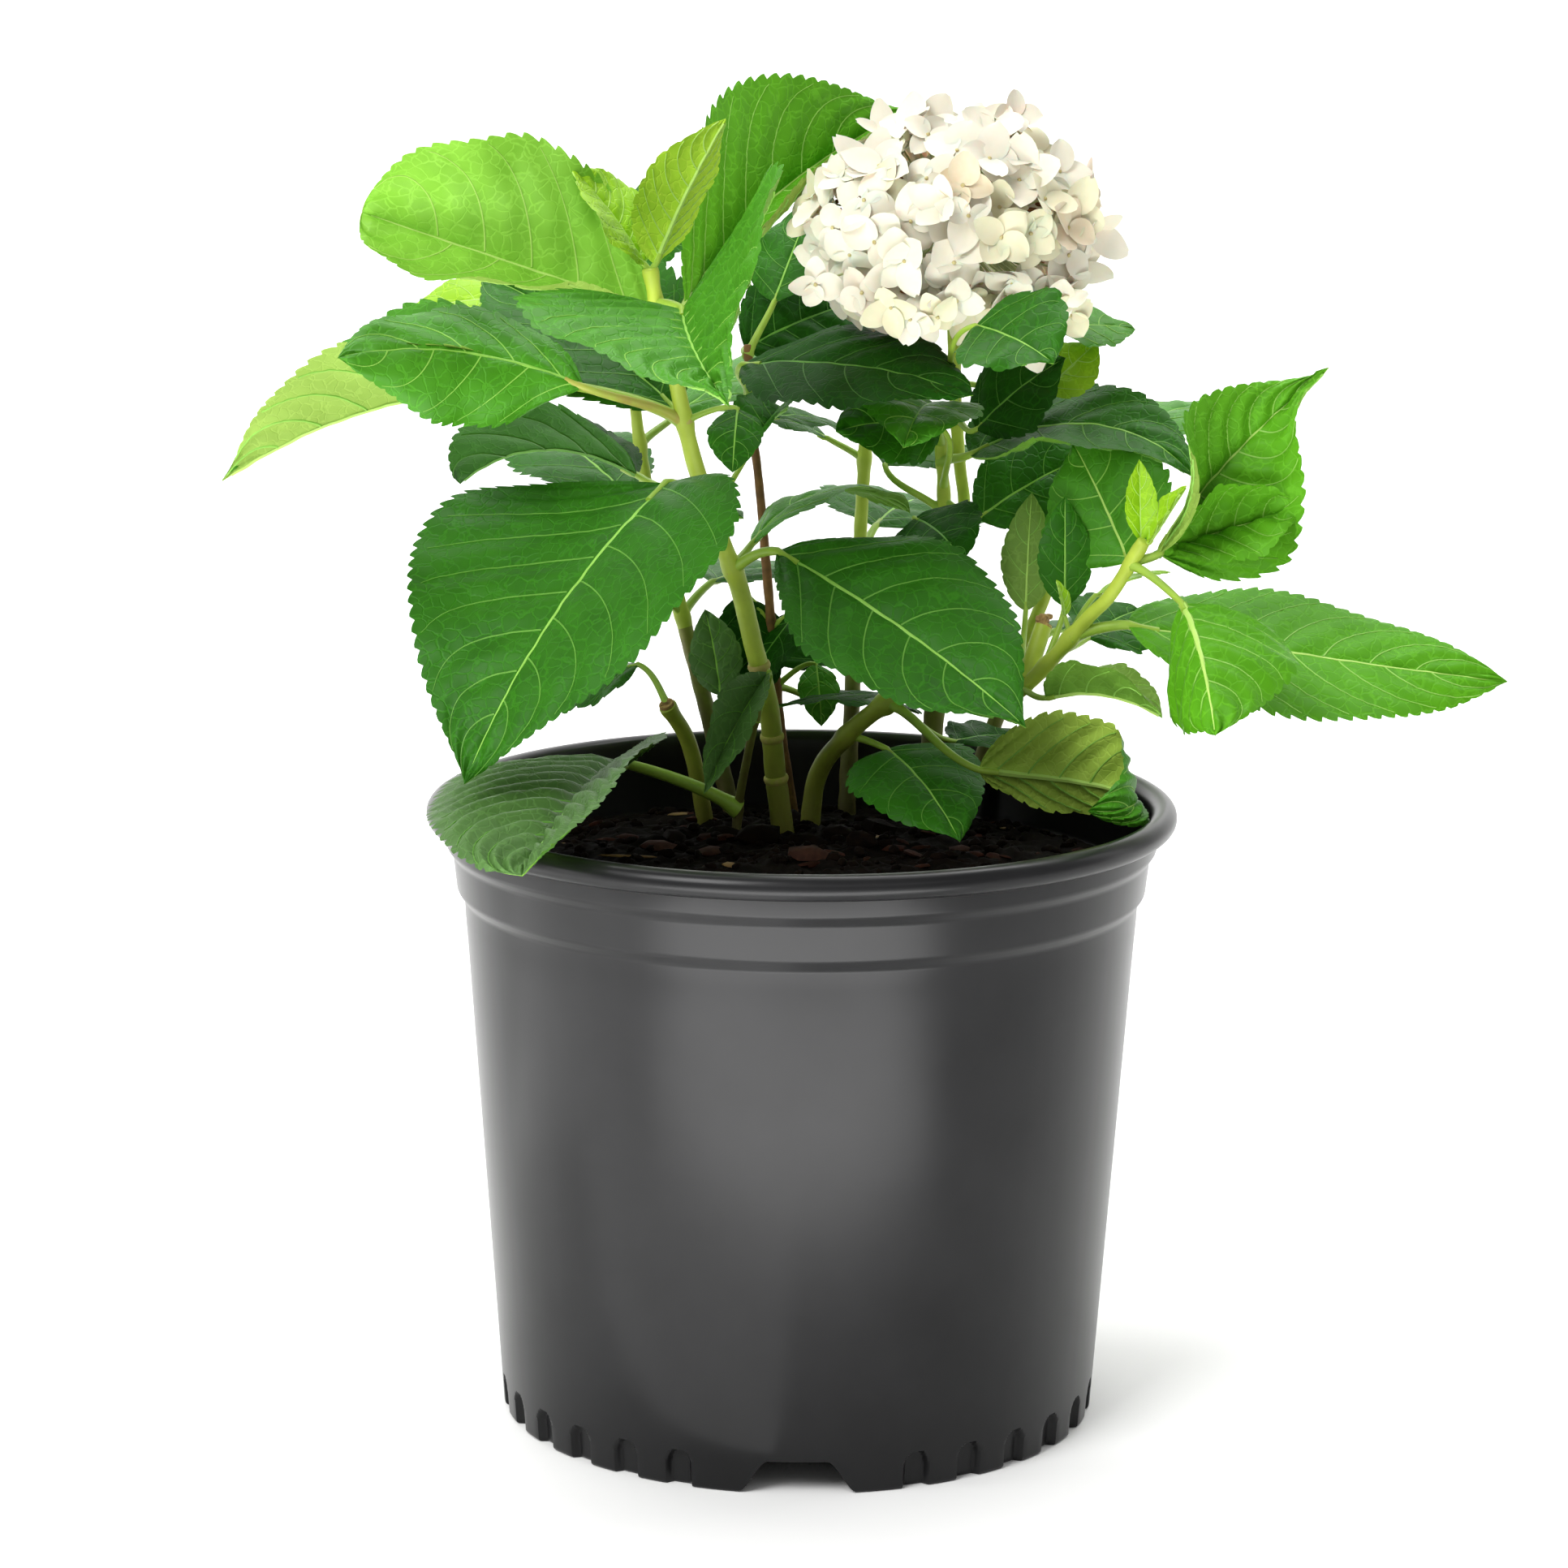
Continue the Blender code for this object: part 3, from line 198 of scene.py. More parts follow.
# %% The rows of leaves
# A row is its node, its stalk and its blade as (length, heading, rise), its width and its tone, which
# comes from age, sun and shade. Then come the entries that differ from USUAL. droop, sweep and twist are
# how far the blade turns from foot to tip; roll lifts its right side; right and left are the angles each
# half folds up by, at the midrib and at the margin; trim is how much of its right and left half is left;
# blunt rounds its foot and point its tip; a curled blade turns late, near its tip; lift is how steeply
# its stalk leaves. Leaves that haven't flattened yet, or have dried, have pleats: mm between side veins
# and how far the blade swells between them. A ruddy leaf has a stalk that the sun has browned.
USUAL = dict(roll=0, droop=20, sweep=0, twist=0, right=(4, -6), left=(4, -6), trim=(1, 1), blunt=0.7,
             point=0.95, curled=False, lift=0.25, pleats=None, ruddy=False)
LEAF_ROWS = {
    "leaves_main_top": {
        "upper left": ((-55, 0, 417), (4, 136, -27), (110, -180, 18), 99, "bright",
            dict(roll=41, droop=0, sweep=-12, twist=62, right=(50, 82), left=(0, 60), trim=(1, 0.6),
                 point=0.5)),
        "upper right": ((-55, 0, 417), (13, 35, -13), (152, 50, 27), 98, "fresh",
            dict(roll=-72, droop=10, sweep=-42, twist=-10, right=(40, 150), left=(15, 9), trim=(0.45, 0.92),
                 blunt=1.25, point=1.35)),
        "upper front": ((-55, 0, 417), (19, -58, -1), (110, -80, -12), 124, "mid",
            dict(roll=-17, droop=6, sweep=15, twist=-11, right=(20, 30), left=(36, 60), trim=(1, 1.1),
                 blunt=0.58, point=1.5, pleats=(11, 2.4))),
        "tip right": ((-57, -2, 428), (4, -20, 60), (60, -20, 63), 34, "lime",
            dict(roll=30, droop=10, right=(25, 20), left=(25, 20), pleats=(7, 1.6))),
        "tip left": ((-57, -2, 428), (4, 170, 60), (44, -170, 52), 40, "lime",
            dict(roll=30, right=(10, 10), left=(10, 10), pleats=(7, 1.6))),
    },
    "leaves_main_middle": {
        "middle left": ((-44, 9, 373), (44, -152, 19), (96, -162, 8), 62, "mid",
            dict(roll=42, droop=33, sweep=45, twist=-30, right=(-12, -7), left=(2, -77), trim=(0.82, 0.94),
                 blunt=0.9, ruddy=True)),
        "far left": ((-44, 9, 373), (46, 176, 16), (136, -181, -16), 83, "under",
            dict(roll=-45, droop=37, sweep=5, twist=-44, right=(90, 89), left=(-2, -7), blunt=1.05,
                 point=1.35)),
        "middle back": ((-44, 8, 373), (12, 110, 15), (108, 140, 24), 76, "dark",
            dict(roll=50, right=(5, 5), left=(40, 30))),
        "middle right": ((-44, 8, 373), (22, -25, 15), (28, -95, -50), 20, "dark", dict(droop=30)),
    },
    "leaves_main_low": {
        "great left": ((-34, 18, 335), (28, -137, 34), (145, -134, -44), 140, "dark",
            dict(roll=10, droop=38, sweep=-15, twist=34, right=(-9, 21), left=(13, 10), trim=(1.1, 0.9),
                 blunt=0.46, point=1.1)),
        "rising right": ((-35, 18, 335), (42, 58, 40), (26, 62, 20), 30, "dark",
            dict(droop=40, right=(50, 30), left=(50, 30))),
        "great right": ((-26, 24, 315), (25, -45, 23), (121, -33, -27), 88, "dark",
            dict(roll=-23, droop=11, sweep=-7, twist=-7, right=(-14, 21), left=(24, -7), trim=(0.9, 1),
                 blunt=0.88, point=1.15)),
        "arched right": ((-24, 26, 316), (12, 60, 40), (78, 30, 6), 42, "mid", dict(roll=10, droop=90)),
        "back left": ((-34, 18, 335), (45, 133, 16), (82, 155, -6), 71, "shade",
            dict(roll=2, droop=70, sweep=-7, twist=28, right=(12, 6), left=(28, 39), blunt=0.66, point=0.8)),
    },
    "leaves_back_left": {
        "behind left": ((-67, 101, 388), (54, -155, 26), (42, 178, -8), 26, "lime", dict(roll=40, droop=10)),
        "tall left": ((-67, 101, 388), (42, 130, 62), (64, -20, 22), 46, "dark", dict(roll=-50, droop=36)),
        "tall far left": ((-67, 101, 388), (40, 150, 70), (34, 190, 45), 28, "mid", dict(roll=40, droop=40)),
    },
    "leaves_brown_top": {
        "long": ((-20, 70, 375), (29, -98, 31), (99, -30, -3), 66, "deep", dict(roll=-20, droop=25)),
        "high": ((-21, 70, 390), (11, 100, 13), (68, 27, 16), 50, "deep", dict(roll=-50, pleats=(12, 2.2))),
        "top": ((-21, 70, 390), (24, 40, 60), (50, 60, 50), 34, "dark", dict(droop=10)),
        "small": ((-20, 70, 375), (18, 60, -30), (40, 40, -12), 30, "dark", dict(roll=-10, droop=30)),
    },
    "leaves_brown_low": {
        "low left": ((-12, 74, 284), (18, 170, 45), (44, -60, -75), 30, "deep",
            dict(droop=30, right=(10, 5), left=(20, 20), pleats=(10, 2.4))),
        "low right": ((-10, 76, 262), (16, 90, 20), (38, 40, 20), 36, "deep",
            dict(roll=-20, droop=30, pleats=(12, 2.4))),
        "low hanging": ((-10, 76, 262), (18, -10, 30), (26, -80, -60), 16, "mid", dict(droop=30)),
        "low front": ((-12, 74, 284), (13, -20, 35), (40, -150, -52), 32, "deep", {}),
        "low back": ((-10, 76, 262), (20, 30, -20), (44, 15, -10), 34, "deep", dict(droop=30)),
    },
    "leaves_bloom": {
        "bloom front": ((58, 80, 366), (108, -88, 25), (38, -41, -17), 50, "dark",
            dict(roll=-25, droop=25, right=(5, 5), left=(20, 10), lift=-0.15)),
        "bloom right": ((58, 80, 388), (43, -25, 20), (34, 20, -2), 30, "mid", dict(roll=-25)),
        "bloom lime": ((58, 80, 380), (38, -31, -2), (30, 26, 38), 24, "lime", dict(roll=-40, droop=0)),
        "bloom under": ((58, 80, 366), (22, -70, -4), (44, -8, 40), 38, "deep",
            dict(roll=-50, pleats=(12, 2.2))),
    },
    "leaves_centre": {
        "centre left": ((54, 70, 340), (37, -95, 46), (42, -165, 0), 42, "dark", dict(roll=40, droop=30)),
        "centre front": ((53, 72, 356), (30, -100, 40), (48, -106, -14), 46, "mid",
            dict(roll=10, droop=50, right=(15, 5), left=(15, 5))),
        "centre right": ((53, 72, 350), (19, -55, 16), (98, -23, -2), 67, "dark",
            dict(roll=-21, droop=70, sweep=-55, twist=-11, right=(-9, 40), left=(0, 22), trim=(1.1, 0.8),
                 blunt=0.4, point=1)),
        "centre low right": ((60, 76, 335), (18, -67, -16), (58, 21, 25), 38, "dark", dict(roll=-50)),
        "centre low": ((54, 70, 324), (22, -125, 19), (44, -66, -14), 36, "deep", dict(roll=-30, droop=30)),
        "centre back": ((54, 70, 330), (30, 178, 40), (58, 50, 0), 30, "dark", dict(roll=-20, droop=40)),
    },
    "leaves_right_top": {
        "right rising": ((120, -5, 323), (12, -2, 20), (95, 16, 45), 75, "fresh",
            dict(roll=-89, droop=6, sweep=-60, twist=87, right=(19, 54), left=(17, 29), trim=(1.1, 1),
                 point=1.6, pleats=(11, 2.2))),
        "right back": ((122, -5, 322), (25, 91, -5), (54, 125, 50), 54, "under", dict(roll=60, droop=10)),
        "right folded": ((120, -5, 323), (10, 46, 7), (61, 0, 18), 45, "fresh",
            dict(roll=-21, droop=1, sweep=-40, twist=-14, right=(10, -18), left=(80, 130), blunt=1.3,
                 point=0.8, pleats=(11, 2.6))),
        "right tip left": ((124, -7, 328), (4, 90, 65), (30, 95, 76), 13, "lime",
            dict(droop=0, right=(30, 20), left=(30, 20))),
        "right tip right": ((124, -7, 328), (4, -30, 50), (26, -15, 58), 18, "lime",
            dict(roll=-20, droop=0, right=(20, 20), left=(20, 20))),
        "right hanging": ((122, -5, 322), (29, -55, -20), (74, -83, -31), 76, "spring_painted_shade",
            dict(roll=10, droop=40, right=(-80, -110), left=(8, -12), blunt=0.55, pleats=(12, 2.2))),
    },
    "leaves_right_middle": {
        "right small": ((98, 11, 291), (24, 50, 40), (30, 0, 18), 12, "lime", dict(droop=40)),
        "right far": ((100, 10, 293), (22, -10, 14), (147, 6, -9), 74, "spring_painted_shade",
            dict(roll=-30, droop=-4, twist=-20, blunt=0.55)),
        "right tiny": ((100, 10, 293), (8, 150, 70), (14, 150, 75), 8, "lime",
            dict(right=(20, 20), left=(20, 20))),
        "right upright": ((91, 15, 281), (24, 50, 62), (42, 90, 74), 20, "dark", {}),
        "right behind": ((91, 15, 281), (42, 64, 6), (34, 50, 12), 36, "dark", dict(roll=-30)),
        "right pale": ((81, 20, 271), (38, 82, 42), (46, 80, 74), 20, "pale", {}),
        "right low": ((81, 20, 270), (22, -64, 4), (48, -26, -4), 38, "pale",
            dict(roll=45, droop=50, right=(0, 0), left=(60, 80), pleats=(11, 2.0))),
    },
    "leaves_low_left": {
        "rim left": ((-24, 40, 220), (48, -167, 24), (173, -100, -2), 108, "grey",
            dict(droop=17, right=(8, -12), left=(28, 45), trim=(1, 0.55), blunt=0.4, point=0.6,
                 pleats=(14, 3.4))),
        "foot front": ((-18, 25, 257), (20, -13, 74), (62, -119, -38), 25, "grey",
            dict(roll=14, twist=27, right=(50, 60), left=(55, 25), blunt=0.83)),
        "foot left": ((-18, 26, 260), (16, 150, 20), (34, 120, 68), 20, "grey",
            dict(roll=40, pleats=(12, 3.0))),
    },
    "left_stub_leaf": {
        "stub leaf": ((-51, 51, 257), (26, 125, 33), (52, 154, -27), 40, "dark",
            dict(roll=19, droop=35, sweep=-28, twist=25, right=(-14, -15), left=(-8, -22), blunt=0.46,
                 point=1.1)),
    },
    "leaves_low_right": {
        "foot right": ((31, 36, 262), (16, 60, 4), (50, 178, -6), 26, "deep", dict(roll=-4)),
        "rim right": ((32, 35, 262), (52, -46, -20), (95, -4, -5), 54, "warm_painted_light",
            dict(roll=78, droop=0, sweep=-230, right=(0, 0), left=(15, 10), trim=(1, 0.55), blunt=0.6,
                 curled=True, pleats=(12, 2.4))),
        "foot round": ((17, 45, 248), (18, -30, -10), (60, -60, -26), 52, "dark",
            dict(roll=-12, droop=30, blunt=0.5)),
        "foot back": ((31, 36, 262), (44, 45, -26), (44, 40, -5), 36, "deep", dict(roll=-10)),
    },
}

LEAVES = []


def add_leaf(mass, at, stalk, blade, width, tone, turns):
    """Add one leaf on its stalk, with its entries by name."""
    node = np.array(at, float)
    length, heading, rise = blade
    LEAVES.append({**USUAL, **turns, "mass": mass, "node": node, "foot": node + stalk[0] * aim(*stalk[1:]),
                   "length": length, "heading": heading, "rise": rise, "width": width, "tone": tone})


for mass, rows in LEAF_ROWS.items():
    for row in rows.values():
        add_leaf(mass, *row)
print("leaves in front:", len(LEAVES))

# %% [markdown]
# ## Leaves behind
# Behind the tall canes the plant goes on. Those leaves come from the habit of the plant alone: pairs that
# turn by a right angle at every node. A leaf that would touch a neighbour grows shorter until it clears.

# %% Room for a leaf
CLEAR = 7                       # mm from a hidden leaf to any other mass
LOWEST = 222                    # mm, just above the soil
SHORTEST = 36                   # mm, below which a hidden leaf is left out


def stretches():
    """Every solid's stretch of cane: its name, its cane's closely stepped points, first and last step."""
    for points, _, _, pieces in CANES.values():
        dense = smooth_path(points)
        for name, first, last in pieces:
            yield name, dense, SPAN_STEPS * first, SPAN_STEPS * last


def leaf_spots(one):
    """Points spread over a blade and down its stalk."""
    grid, _ = blade_points(one, np.linspace(0, 1, 15), np.linspace(-1, 1, 9))
    return np.vstack([grid.reshape(-1, 3), petiole_path(one, 6)[2:]])


def touches(one):
    """Whether a leaf comes too near another mass, a cane, the bloom or the pot."""
    mine = leaf_spots(one)
    in_bloom = np.linalg.norm((mine - BLOOM_CENTRE) / BLOOM_HALF, axis=1) < 1.16
    if in_bloom.any() or mine[:, 2].min() < LOWEST:
        return True
    others = [spots for mass, spots in SPOTS if mass != one["mass"]]
    return any(np.linalg.norm(mine[:, None] - spots[None], axis=2).min() < CLEAR for spots in others)


SPOTS = [(one["mass"], leaf_spots(one)) for one in LEAVES]
SPOTS += [(name, dense[first:last + 1]) for name, dense, first, last in stretches()]

# %% Pairs up the hidden shoots
def back_pairs(mass, nodes, long, seed, turn):
    """Leaf pairs up a hidden back shoot, each at right angles to the one below, kept clear."""
    rng = random.Random(seed)
    for k, at in enumerate(nodes):
        for half in (0, 180):
            heading = turn + 90 * k + half + rng.uniform(-12, 12)
            behind = math.sin(math.radians(heading))
            length = long * (0.66 + 0.34 * behind) * (1 - 0.05 * k)
            sway, rise, roll, tone = (rng.uniform(-10, 10), 4 + 9 * k - 12 * rng.random(),
                                      rng.uniform(-14, 14), rng.random())
            while length > SHORTEST:
                add_leaf(mass, at, (15 + 8 * max(0, behind), heading, 28), (length, heading + sway, rise),
                         length * 0.68, "dark" if tone < 0.75 else "mid", dict(roll=roll, droop=34))
                if not touches(LEAVES[-1]):
                    SPOTS.append((mass, leaf_spots(LEAVES[-1])))
                    break
                LEAVES.pop()
                length -= 8


for shoot, nodes, long, seed, turn in (
        ("left", ((-48, 105, 286), (-58, 106, 320), (-64, 104, 352), (-67, 101, 384)), 96, 11, 50),
        ("middle", ((22, 115, 306), (24, 116, 345), (26, 115, 374), (27, 116, 401)), 100, 12, 70),
        ("right", ((86, 109, 268), (98, 112, 300), (105, 112, 338)), 88, 13, 40)):
    back_pairs("leaves_back_" + shoot, nodes, long, seed, turn)

# Each stalk starts at the nearest point of its own mass's stem.
for name, dense, first, last in stretches():
    stem = dense[first + 1:last]
    for one in LEAVES:
        if one["mass"] == name:
            one["node"] = stem[np.linalg.norm(stem - one["node"], axis=1).argmin()]

# %% [markdown]
# ## Colours and finishes
# Colours are written as the hex values that a screen shows and turned to linear light by one function.
# Another adds a shader node with its settings and links. On a plant the colours are many but each leaf
# is nearly plain, so a finish here is a plain colour with a fine mottle and a fine relief.

# %% Helpers for materials
def linear(hex_colour):
    """A screen colour such as #3a7d2c as linear red, green, blue and a full alpha."""
    parts = [int(hex_colour[i:i + 2], 16) / 255 for i in (1, 3, 5)]
    return (*[c / 12.92 if c <= 0.04045 else ((c + 0.055) / 1.055) ** 2.4 for c in parts], 1.0)


def add_node(tree, kind, inputs=None, **settings):
    """A node with its settings; each input is a plain value or another node's output socket."""
    made = tree.nodes.new("ShaderNode" + kind)
    for key, value in settings.items():
        setattr(made, key, value)
    for socket, value in (inputs or {}).items():
        if isinstance(value, bpy.types.NodeSocket):
            tree.links.new(value, made.inputs[socket])
        else:
            made.inputs[socket].default_value = value
    return made


def mix_colours(tree, share, low, high):
    """A colour that goes from one to another as a share goes from 0 to 1."""
    return add_node(tree, "Mix", {"Factor": share, "A": low, "B": high}, data_type="RGBA").outputs["Result"]


def vein_net(tree, where, size):
    """A net of fine veins that wander: 0 on a vein, 1 off it."""
    stir = add_node(tree, "TexNoise", {"Vector": where, "Scale": 1 / size, "Detail": 2.0})
    bent = add_node(tree, "VectorMath", {0: stir.outputs["Color"], 1: (0.8 * size,) * 3, 2: where},
                    operation="MULTIPLY_ADD")
    cells = add_node(tree, "TexVoronoi", {"Vector": bent.outputs["Vector"], "Scale": 1 / size},
                     feature="DISTANCE_TO_EDGE")
    line = add_node(tree, "MapRange", {"Value": cells.outputs["Distance"], "From Max": 0.10},
                    interpolation_type="SMOOTHSTEP")
    return line.outputs["Result"]


def finish(name, plain, second, rough, grain, relief, net=None, net_colour=None, ior=1.45, gloss=0.5,
           mottle=0.5, sheen=0.0):
    """A surface of two near colours in a soft mottle, with a fine relief and perhaps a net of veins.

    grain, relief and net are in mm: the breadth of the mottle, the depth of the relief and the
    breadth of the net's meshes.
    """
    mat = bpy.data.materials.new(name)
    mat.use_nodes = True
    mat.diffuse_color = linear(plain)
    tree = mat.node_tree
    shader = tree.nodes["Principled BSDF"]
    for socket, value in {"Roughness": rough, "IOR": ior, "Specular IOR Level": gloss,
                          "Sheen Weight": sheen}.items():
        shader.inputs[socket].default_value = value
    where = add_node(tree, "TexCoord").outputs["Object"]
    cloud = add_node(tree, "TexNoise", {"Vector": where, "Scale": 1 / (grain * MM), "Detail": 4.0})
    height = cloud.outputs["Fac"]
    steps = add_node(tree, "ValToRGB", {"Fac": height})
    for stop, sign, tint in zip(steps.color_ramp.elements, (-1, 1), (second, plain)):
        stop.position = 0.5 + sign * mottle / 2
        stop.color = linear(tint)
    colour = steps.outputs["Color"]
    if net:
        height = vein_net(tree, where, net * MM)
        colour = mix_colours(tree, height, linear(net_colour), colour)
    tree.links.new(colour, shader.inputs["Base Color"])
    bump = add_node(tree, "Bump", {"Height": height, "Distance": relief * MM, "Strength": 0.6})
    tree.links.new(bump.outputs["Normal"], shader.inputs["Normal"])
    return mat

# %% [markdown]
# ## Gathering faces into pieces
# Hundreds of leaves as separate objects would be slow to draw and to keep. Each kind of surface gets
# one heap of points and faces instead, and a heap becomes one object at the end.

# %% A heap for each kind of surface
class Heap:
    """Points and four-cornered faces gathered for one object."""

    def __init__(self):
        self.points, self.faces, self.count = [], [], 0
        self.nodes = set()

    def grid(self, grid, node=None, flip=False, wrap=False):
        """Add a sheet given as rows and columns of points; wrap joins its last column to its first."""
        rows, cols = grid.shape[:2]
        index = np.arange(rows * cols).reshape(rows, cols) + self.count
        if wrap:
            index = np.hstack([index, index[:, :1]])
        quads = np.stack([index[:-1, :-1], index[:-1, 1:], index[1:, 1:], index[1:, :-1]], axis=-1)
        quads = quads.reshape(-1, 4)
        self.faces.append(quads[:, [0, 3, 2, 1]] if flip else quads)
        self.points.append(grid.reshape(-1, 3))
        self.count += rows * cols
        if node:
            self.nodes.add(node)


def grow_object(name, heap, mat, sharp=50):
    """Turn a heap into a smooth object that rides on the plant and stands for its solids."""
    points = np.vstack(heap.points) * MM
    faces = np.vstack(heap.faces)
    mesh = bpy.data.meshes.new(name)
    mesh.vertices.add(len(points))
    mesh.vertices.foreach_set("co", points.ravel())
    mesh.loops.add(faces.size)
    mesh.loops.foreach_set("vertex_index", faces.ravel())
    mesh.polygons.add(len(faces))
    mesh.polygons.foreach_set("loop_start", np.arange(0, faces.size, 4))
    mesh.polygons.foreach_set("loop_total", np.full(len(faces), 4))
    mesh.update(calc_edges=True)
    mesh.validate()
    mesh.materials.append(mat)
    mesh.shade_smooth()
    mesh.set_sharp_from_angle(angle=math.radians(sharp))
    obj = bpy.data.objects.new(name, mesh)
    bpy.context.scene.collection.objects.link(obj)
    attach(obj, "root")
    if heap.nodes:
        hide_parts(*sorted(heap.nodes))
    print(f"{name}: {2 * len(faces)} triangles")


def swept_rings(line, radii, sides):
    """Rings of points round a line; radii holds a radius for each ring, or one for each of its points."""
    line = np.asarray(line, float)
    ahead = unit(np.gradient(line, axis=0))
    side = np.cross(ahead[0], (0.0, 1.0, 0.0))
    if np.linalg.norm(side) < 0.2:
        side = np.cross(ahead[0], (1.0, 0.0, 0.0))
    turn = np.linspace(0, 2 * math.pi, sides, endpoint=False)[:, None]
    rings = []
    for p, a, r in zip(line, ahead, np.asarray(radii, float).reshape(len(line), -1, 1)):
        side = unit(side - a * side.dot(a))
        rings.append(p + r * (np.cos(turn) * side + np.sin(turn) * np.cross(a, side)))
    return rings


def round_bar(heap, line, radii, sides, node=None):
    """Add a round bar along a line of points, with a radius at each and flat ends."""
    ends = [np.repeat(np.array([line[k]], float), sides, axis=0) for k in (0, -1)]
    heap.grid(np.array([ends[0]] + swept_rings(line, radii, sides) + [ends[1]]), node, wrap=True)

# %% [markdown]
# ## The nursery pot
# Such a pot is polypropylene, injection moulded in one shot: a thin tapering wall, two shoulders that
# stiffen the top, a rolled rim to lift it by, and hollow flutes round the foot. It stands on a ring,
# with its floor raised inside, and an arch through the ring at the front and back lets water out.
# A lathe profile and a Boolean would do, but a turned grid whose rows are nudged keeps clean edges:
# the flutes draw a row inwards, and the arches lift it.

# %% Columns of the pot, closer where an edge needs them
FRONT = -math.pi / 2            # the turn that faces the front
FOOT_RADIUS = 112               # mm, where distances round the foot are measured
FLUTES = 32                     # hollow notches round the foot
STEP_ROUND = 2 * math.pi * FOOT_RADIUS / FLUTES
half_flute = [0.6, 1.8, 2.7, 3.3, 3.8, 4.2, 4.6, 5.2, 6.2, 8.4]
flute_columns = [-11] + [-x for x in half_flute[::-1]] + half_flute
arch_side = np.arange(9.8, 22.5, 0.45)
arch_columns = np.concatenate([np.arange(-33, -22.5, 2), -arch_side[::-1], np.arange(-8.8, 8.9, 1.6),
                               arch_side, np.arange(23, 32.8, 2)])
round_foot = []
for k in range(FLUTES):
    from_front = k % (FLUTES // 2)
    if from_front == 0:
        round_foot += [k * STEP_ROUND + x for x in arch_columns]
    elif from_front not in (1, FLUTES // 2 - 1):
        round_foot += [k * STEP_ROUND + x for x in flute_columns]
round_foot = np.array(round_foot)
print("columns round the pot:", len(round_foot))

# %% Flutes, arches and rounded corners
FLUTE_HIGH = 14                 # mm up from the floor
FLUTE_HALF = 5.5                # half its breadth
FLUTE_DEEP = 3.0
ARCH_FOOT, ARCH_HEAD, ARCH_HIGH = 22.2, 10.3, 12.6     # half its breadth at foot and top, and its height


def arch_height(x):
    """Height of a drain arch above the floor, at a distance from its middle."""
    slope = np.clip((ARCH_FOOT - np.abs(x)) / (ARCH_FOOT - ARCH_HEAD), 0, 1)
    return ARCH_HIGH * slope * slope * (3 - 2 * slope)


def flute_depth(off, z):
    """How deep a flute is, at a distance from its middle and a height."""
    half = FLUTE_HALF * np.sqrt(np.clip(1 - np.clip((z - 8) / (FLUTE_HIGH - 8), 0, 1) ** 2, 0, 1))
    inside = np.clip((1 - np.abs(off) / np.maximum(half, 0.01)) / 0.4, 0, 1)
    return FLUTE_DEEP * inside * inside * (3 - 2 * inside) * (half > 0.3)


def eased(path, reach):
    """A path with each of its corners rounded over a length."""
    path = [np.array(p, float) for p in path]
    rows = [path[0]]
    for before, at, after in zip(path, path[1:], path[2:]):
        near = at + (before - at) * min(0.48, reach / np.linalg.norm(before - at))
        far = at + (after - at) * min(0.48, reach / np.linalg.norm(after - at))
        rows += [(1 - t) ** 2 * near + 2 * t * (1 - t) * at + t * t * far for t in (0, 0.33, 0.67, 1)]
    return rows + [path[-1]]


# %% The profile, as radius and height from the middle of the floor round to the inside of the wall
BASE_HIGH = 12.9                # mm, the raised floor inside the foot ring
RIM_TUBE = 4.85                 # mm, radius of the rolled rim
RIM_AT = (135.1, 228.7)         # radius and height of its middle
foot_rows = [(0.5, BASE_HIGH), (60, BASE_HIGH), (99, BASE_HIGH), (102.6, 12.0), (103.4, 6.0), (104.0, 0.7),
             (104.6, 0), (110.8, 0), (111.4, 0.2), (111.9, 0.7), (112.1, 1.3)]
wall_heights = [*np.arange(2, 14.9, 0.8), 15.6, 17, 20, 26, 40, 60, 80, 100, 120, 140, 160, 180]
wall_rows = [(np.interp(z, (1.3, 197), (112.1, 126)), z) for z in wall_heights]
shoulders = eased([(125.6, 190), (126.0, 197), (128.7, 200.6), (130.2, 214), (132.7, 217.2),
                   (133.3, 223.6)], 1.1)
lip = [(RIM_AT[0] + RIM_TUBE * math.cos(t), RIM_AT[1] + RIM_TUBE * math.sin(t))
       for t in np.radians(range(-62, 186, 14))]
inside = eased([(129.9, 226), (129.4, 220), (127.9, 203), (124.6, 199.5), (123.6, 186)], 1.5)
profile = [*foot_rows, *wall_rows, *shoulders, *lip, *inside]

# %% The turned grid
turn = FRONT + round_foot / FOOT_RADIUS
half_round = STEP_ROUND * FLUTES / 2
from_arch = (round_foot + half_round / 2) % half_round - half_round / 2
off_flute = (round_foot + STEP_ROUND / 2) % STEP_ROUND - STEP_ROUND / 2
fluted = np.abs(from_arch) > 1.5 * STEP_ROUND - 0.1
pot_rows = []
for r, z in profile:
    flute = flute_depth(off_flute, z) * fluted if r > 108 and z < FLUTE_HIGH else np.zeros(len(turn))
    high = np.maximum(z, arch_height(from_arch)) if r > 100 else np.full(len(turn), z)
    pot_rows.append(np.stack([(r - flute) * np.cos(turn), (r - flute) * np.sin(turn), high], axis=1))
print("pot rows:", len(pot_rows), "height:", round(max(p[1] for p in profile), 1), "mm")

# %% Polypropylene, injection moulded and carbon black
# The mould was satin, so the wall gives broad soft highlights with a slight grain, and a little dust and
# scuffing make the black uneven.
polypropylene = finish("polypropylene_moulded_black", "#1b1b1c", "#0f0f10", 0.28, 48, 0.0, ior=1.49,
                       gloss=0.24)
pot_heap = Heap()
pot_heap.grid(np.array(pot_rows), "pot", wrap=True)
grow_object("nursery_pot", pot_heap, polypropylene, sharp=34)

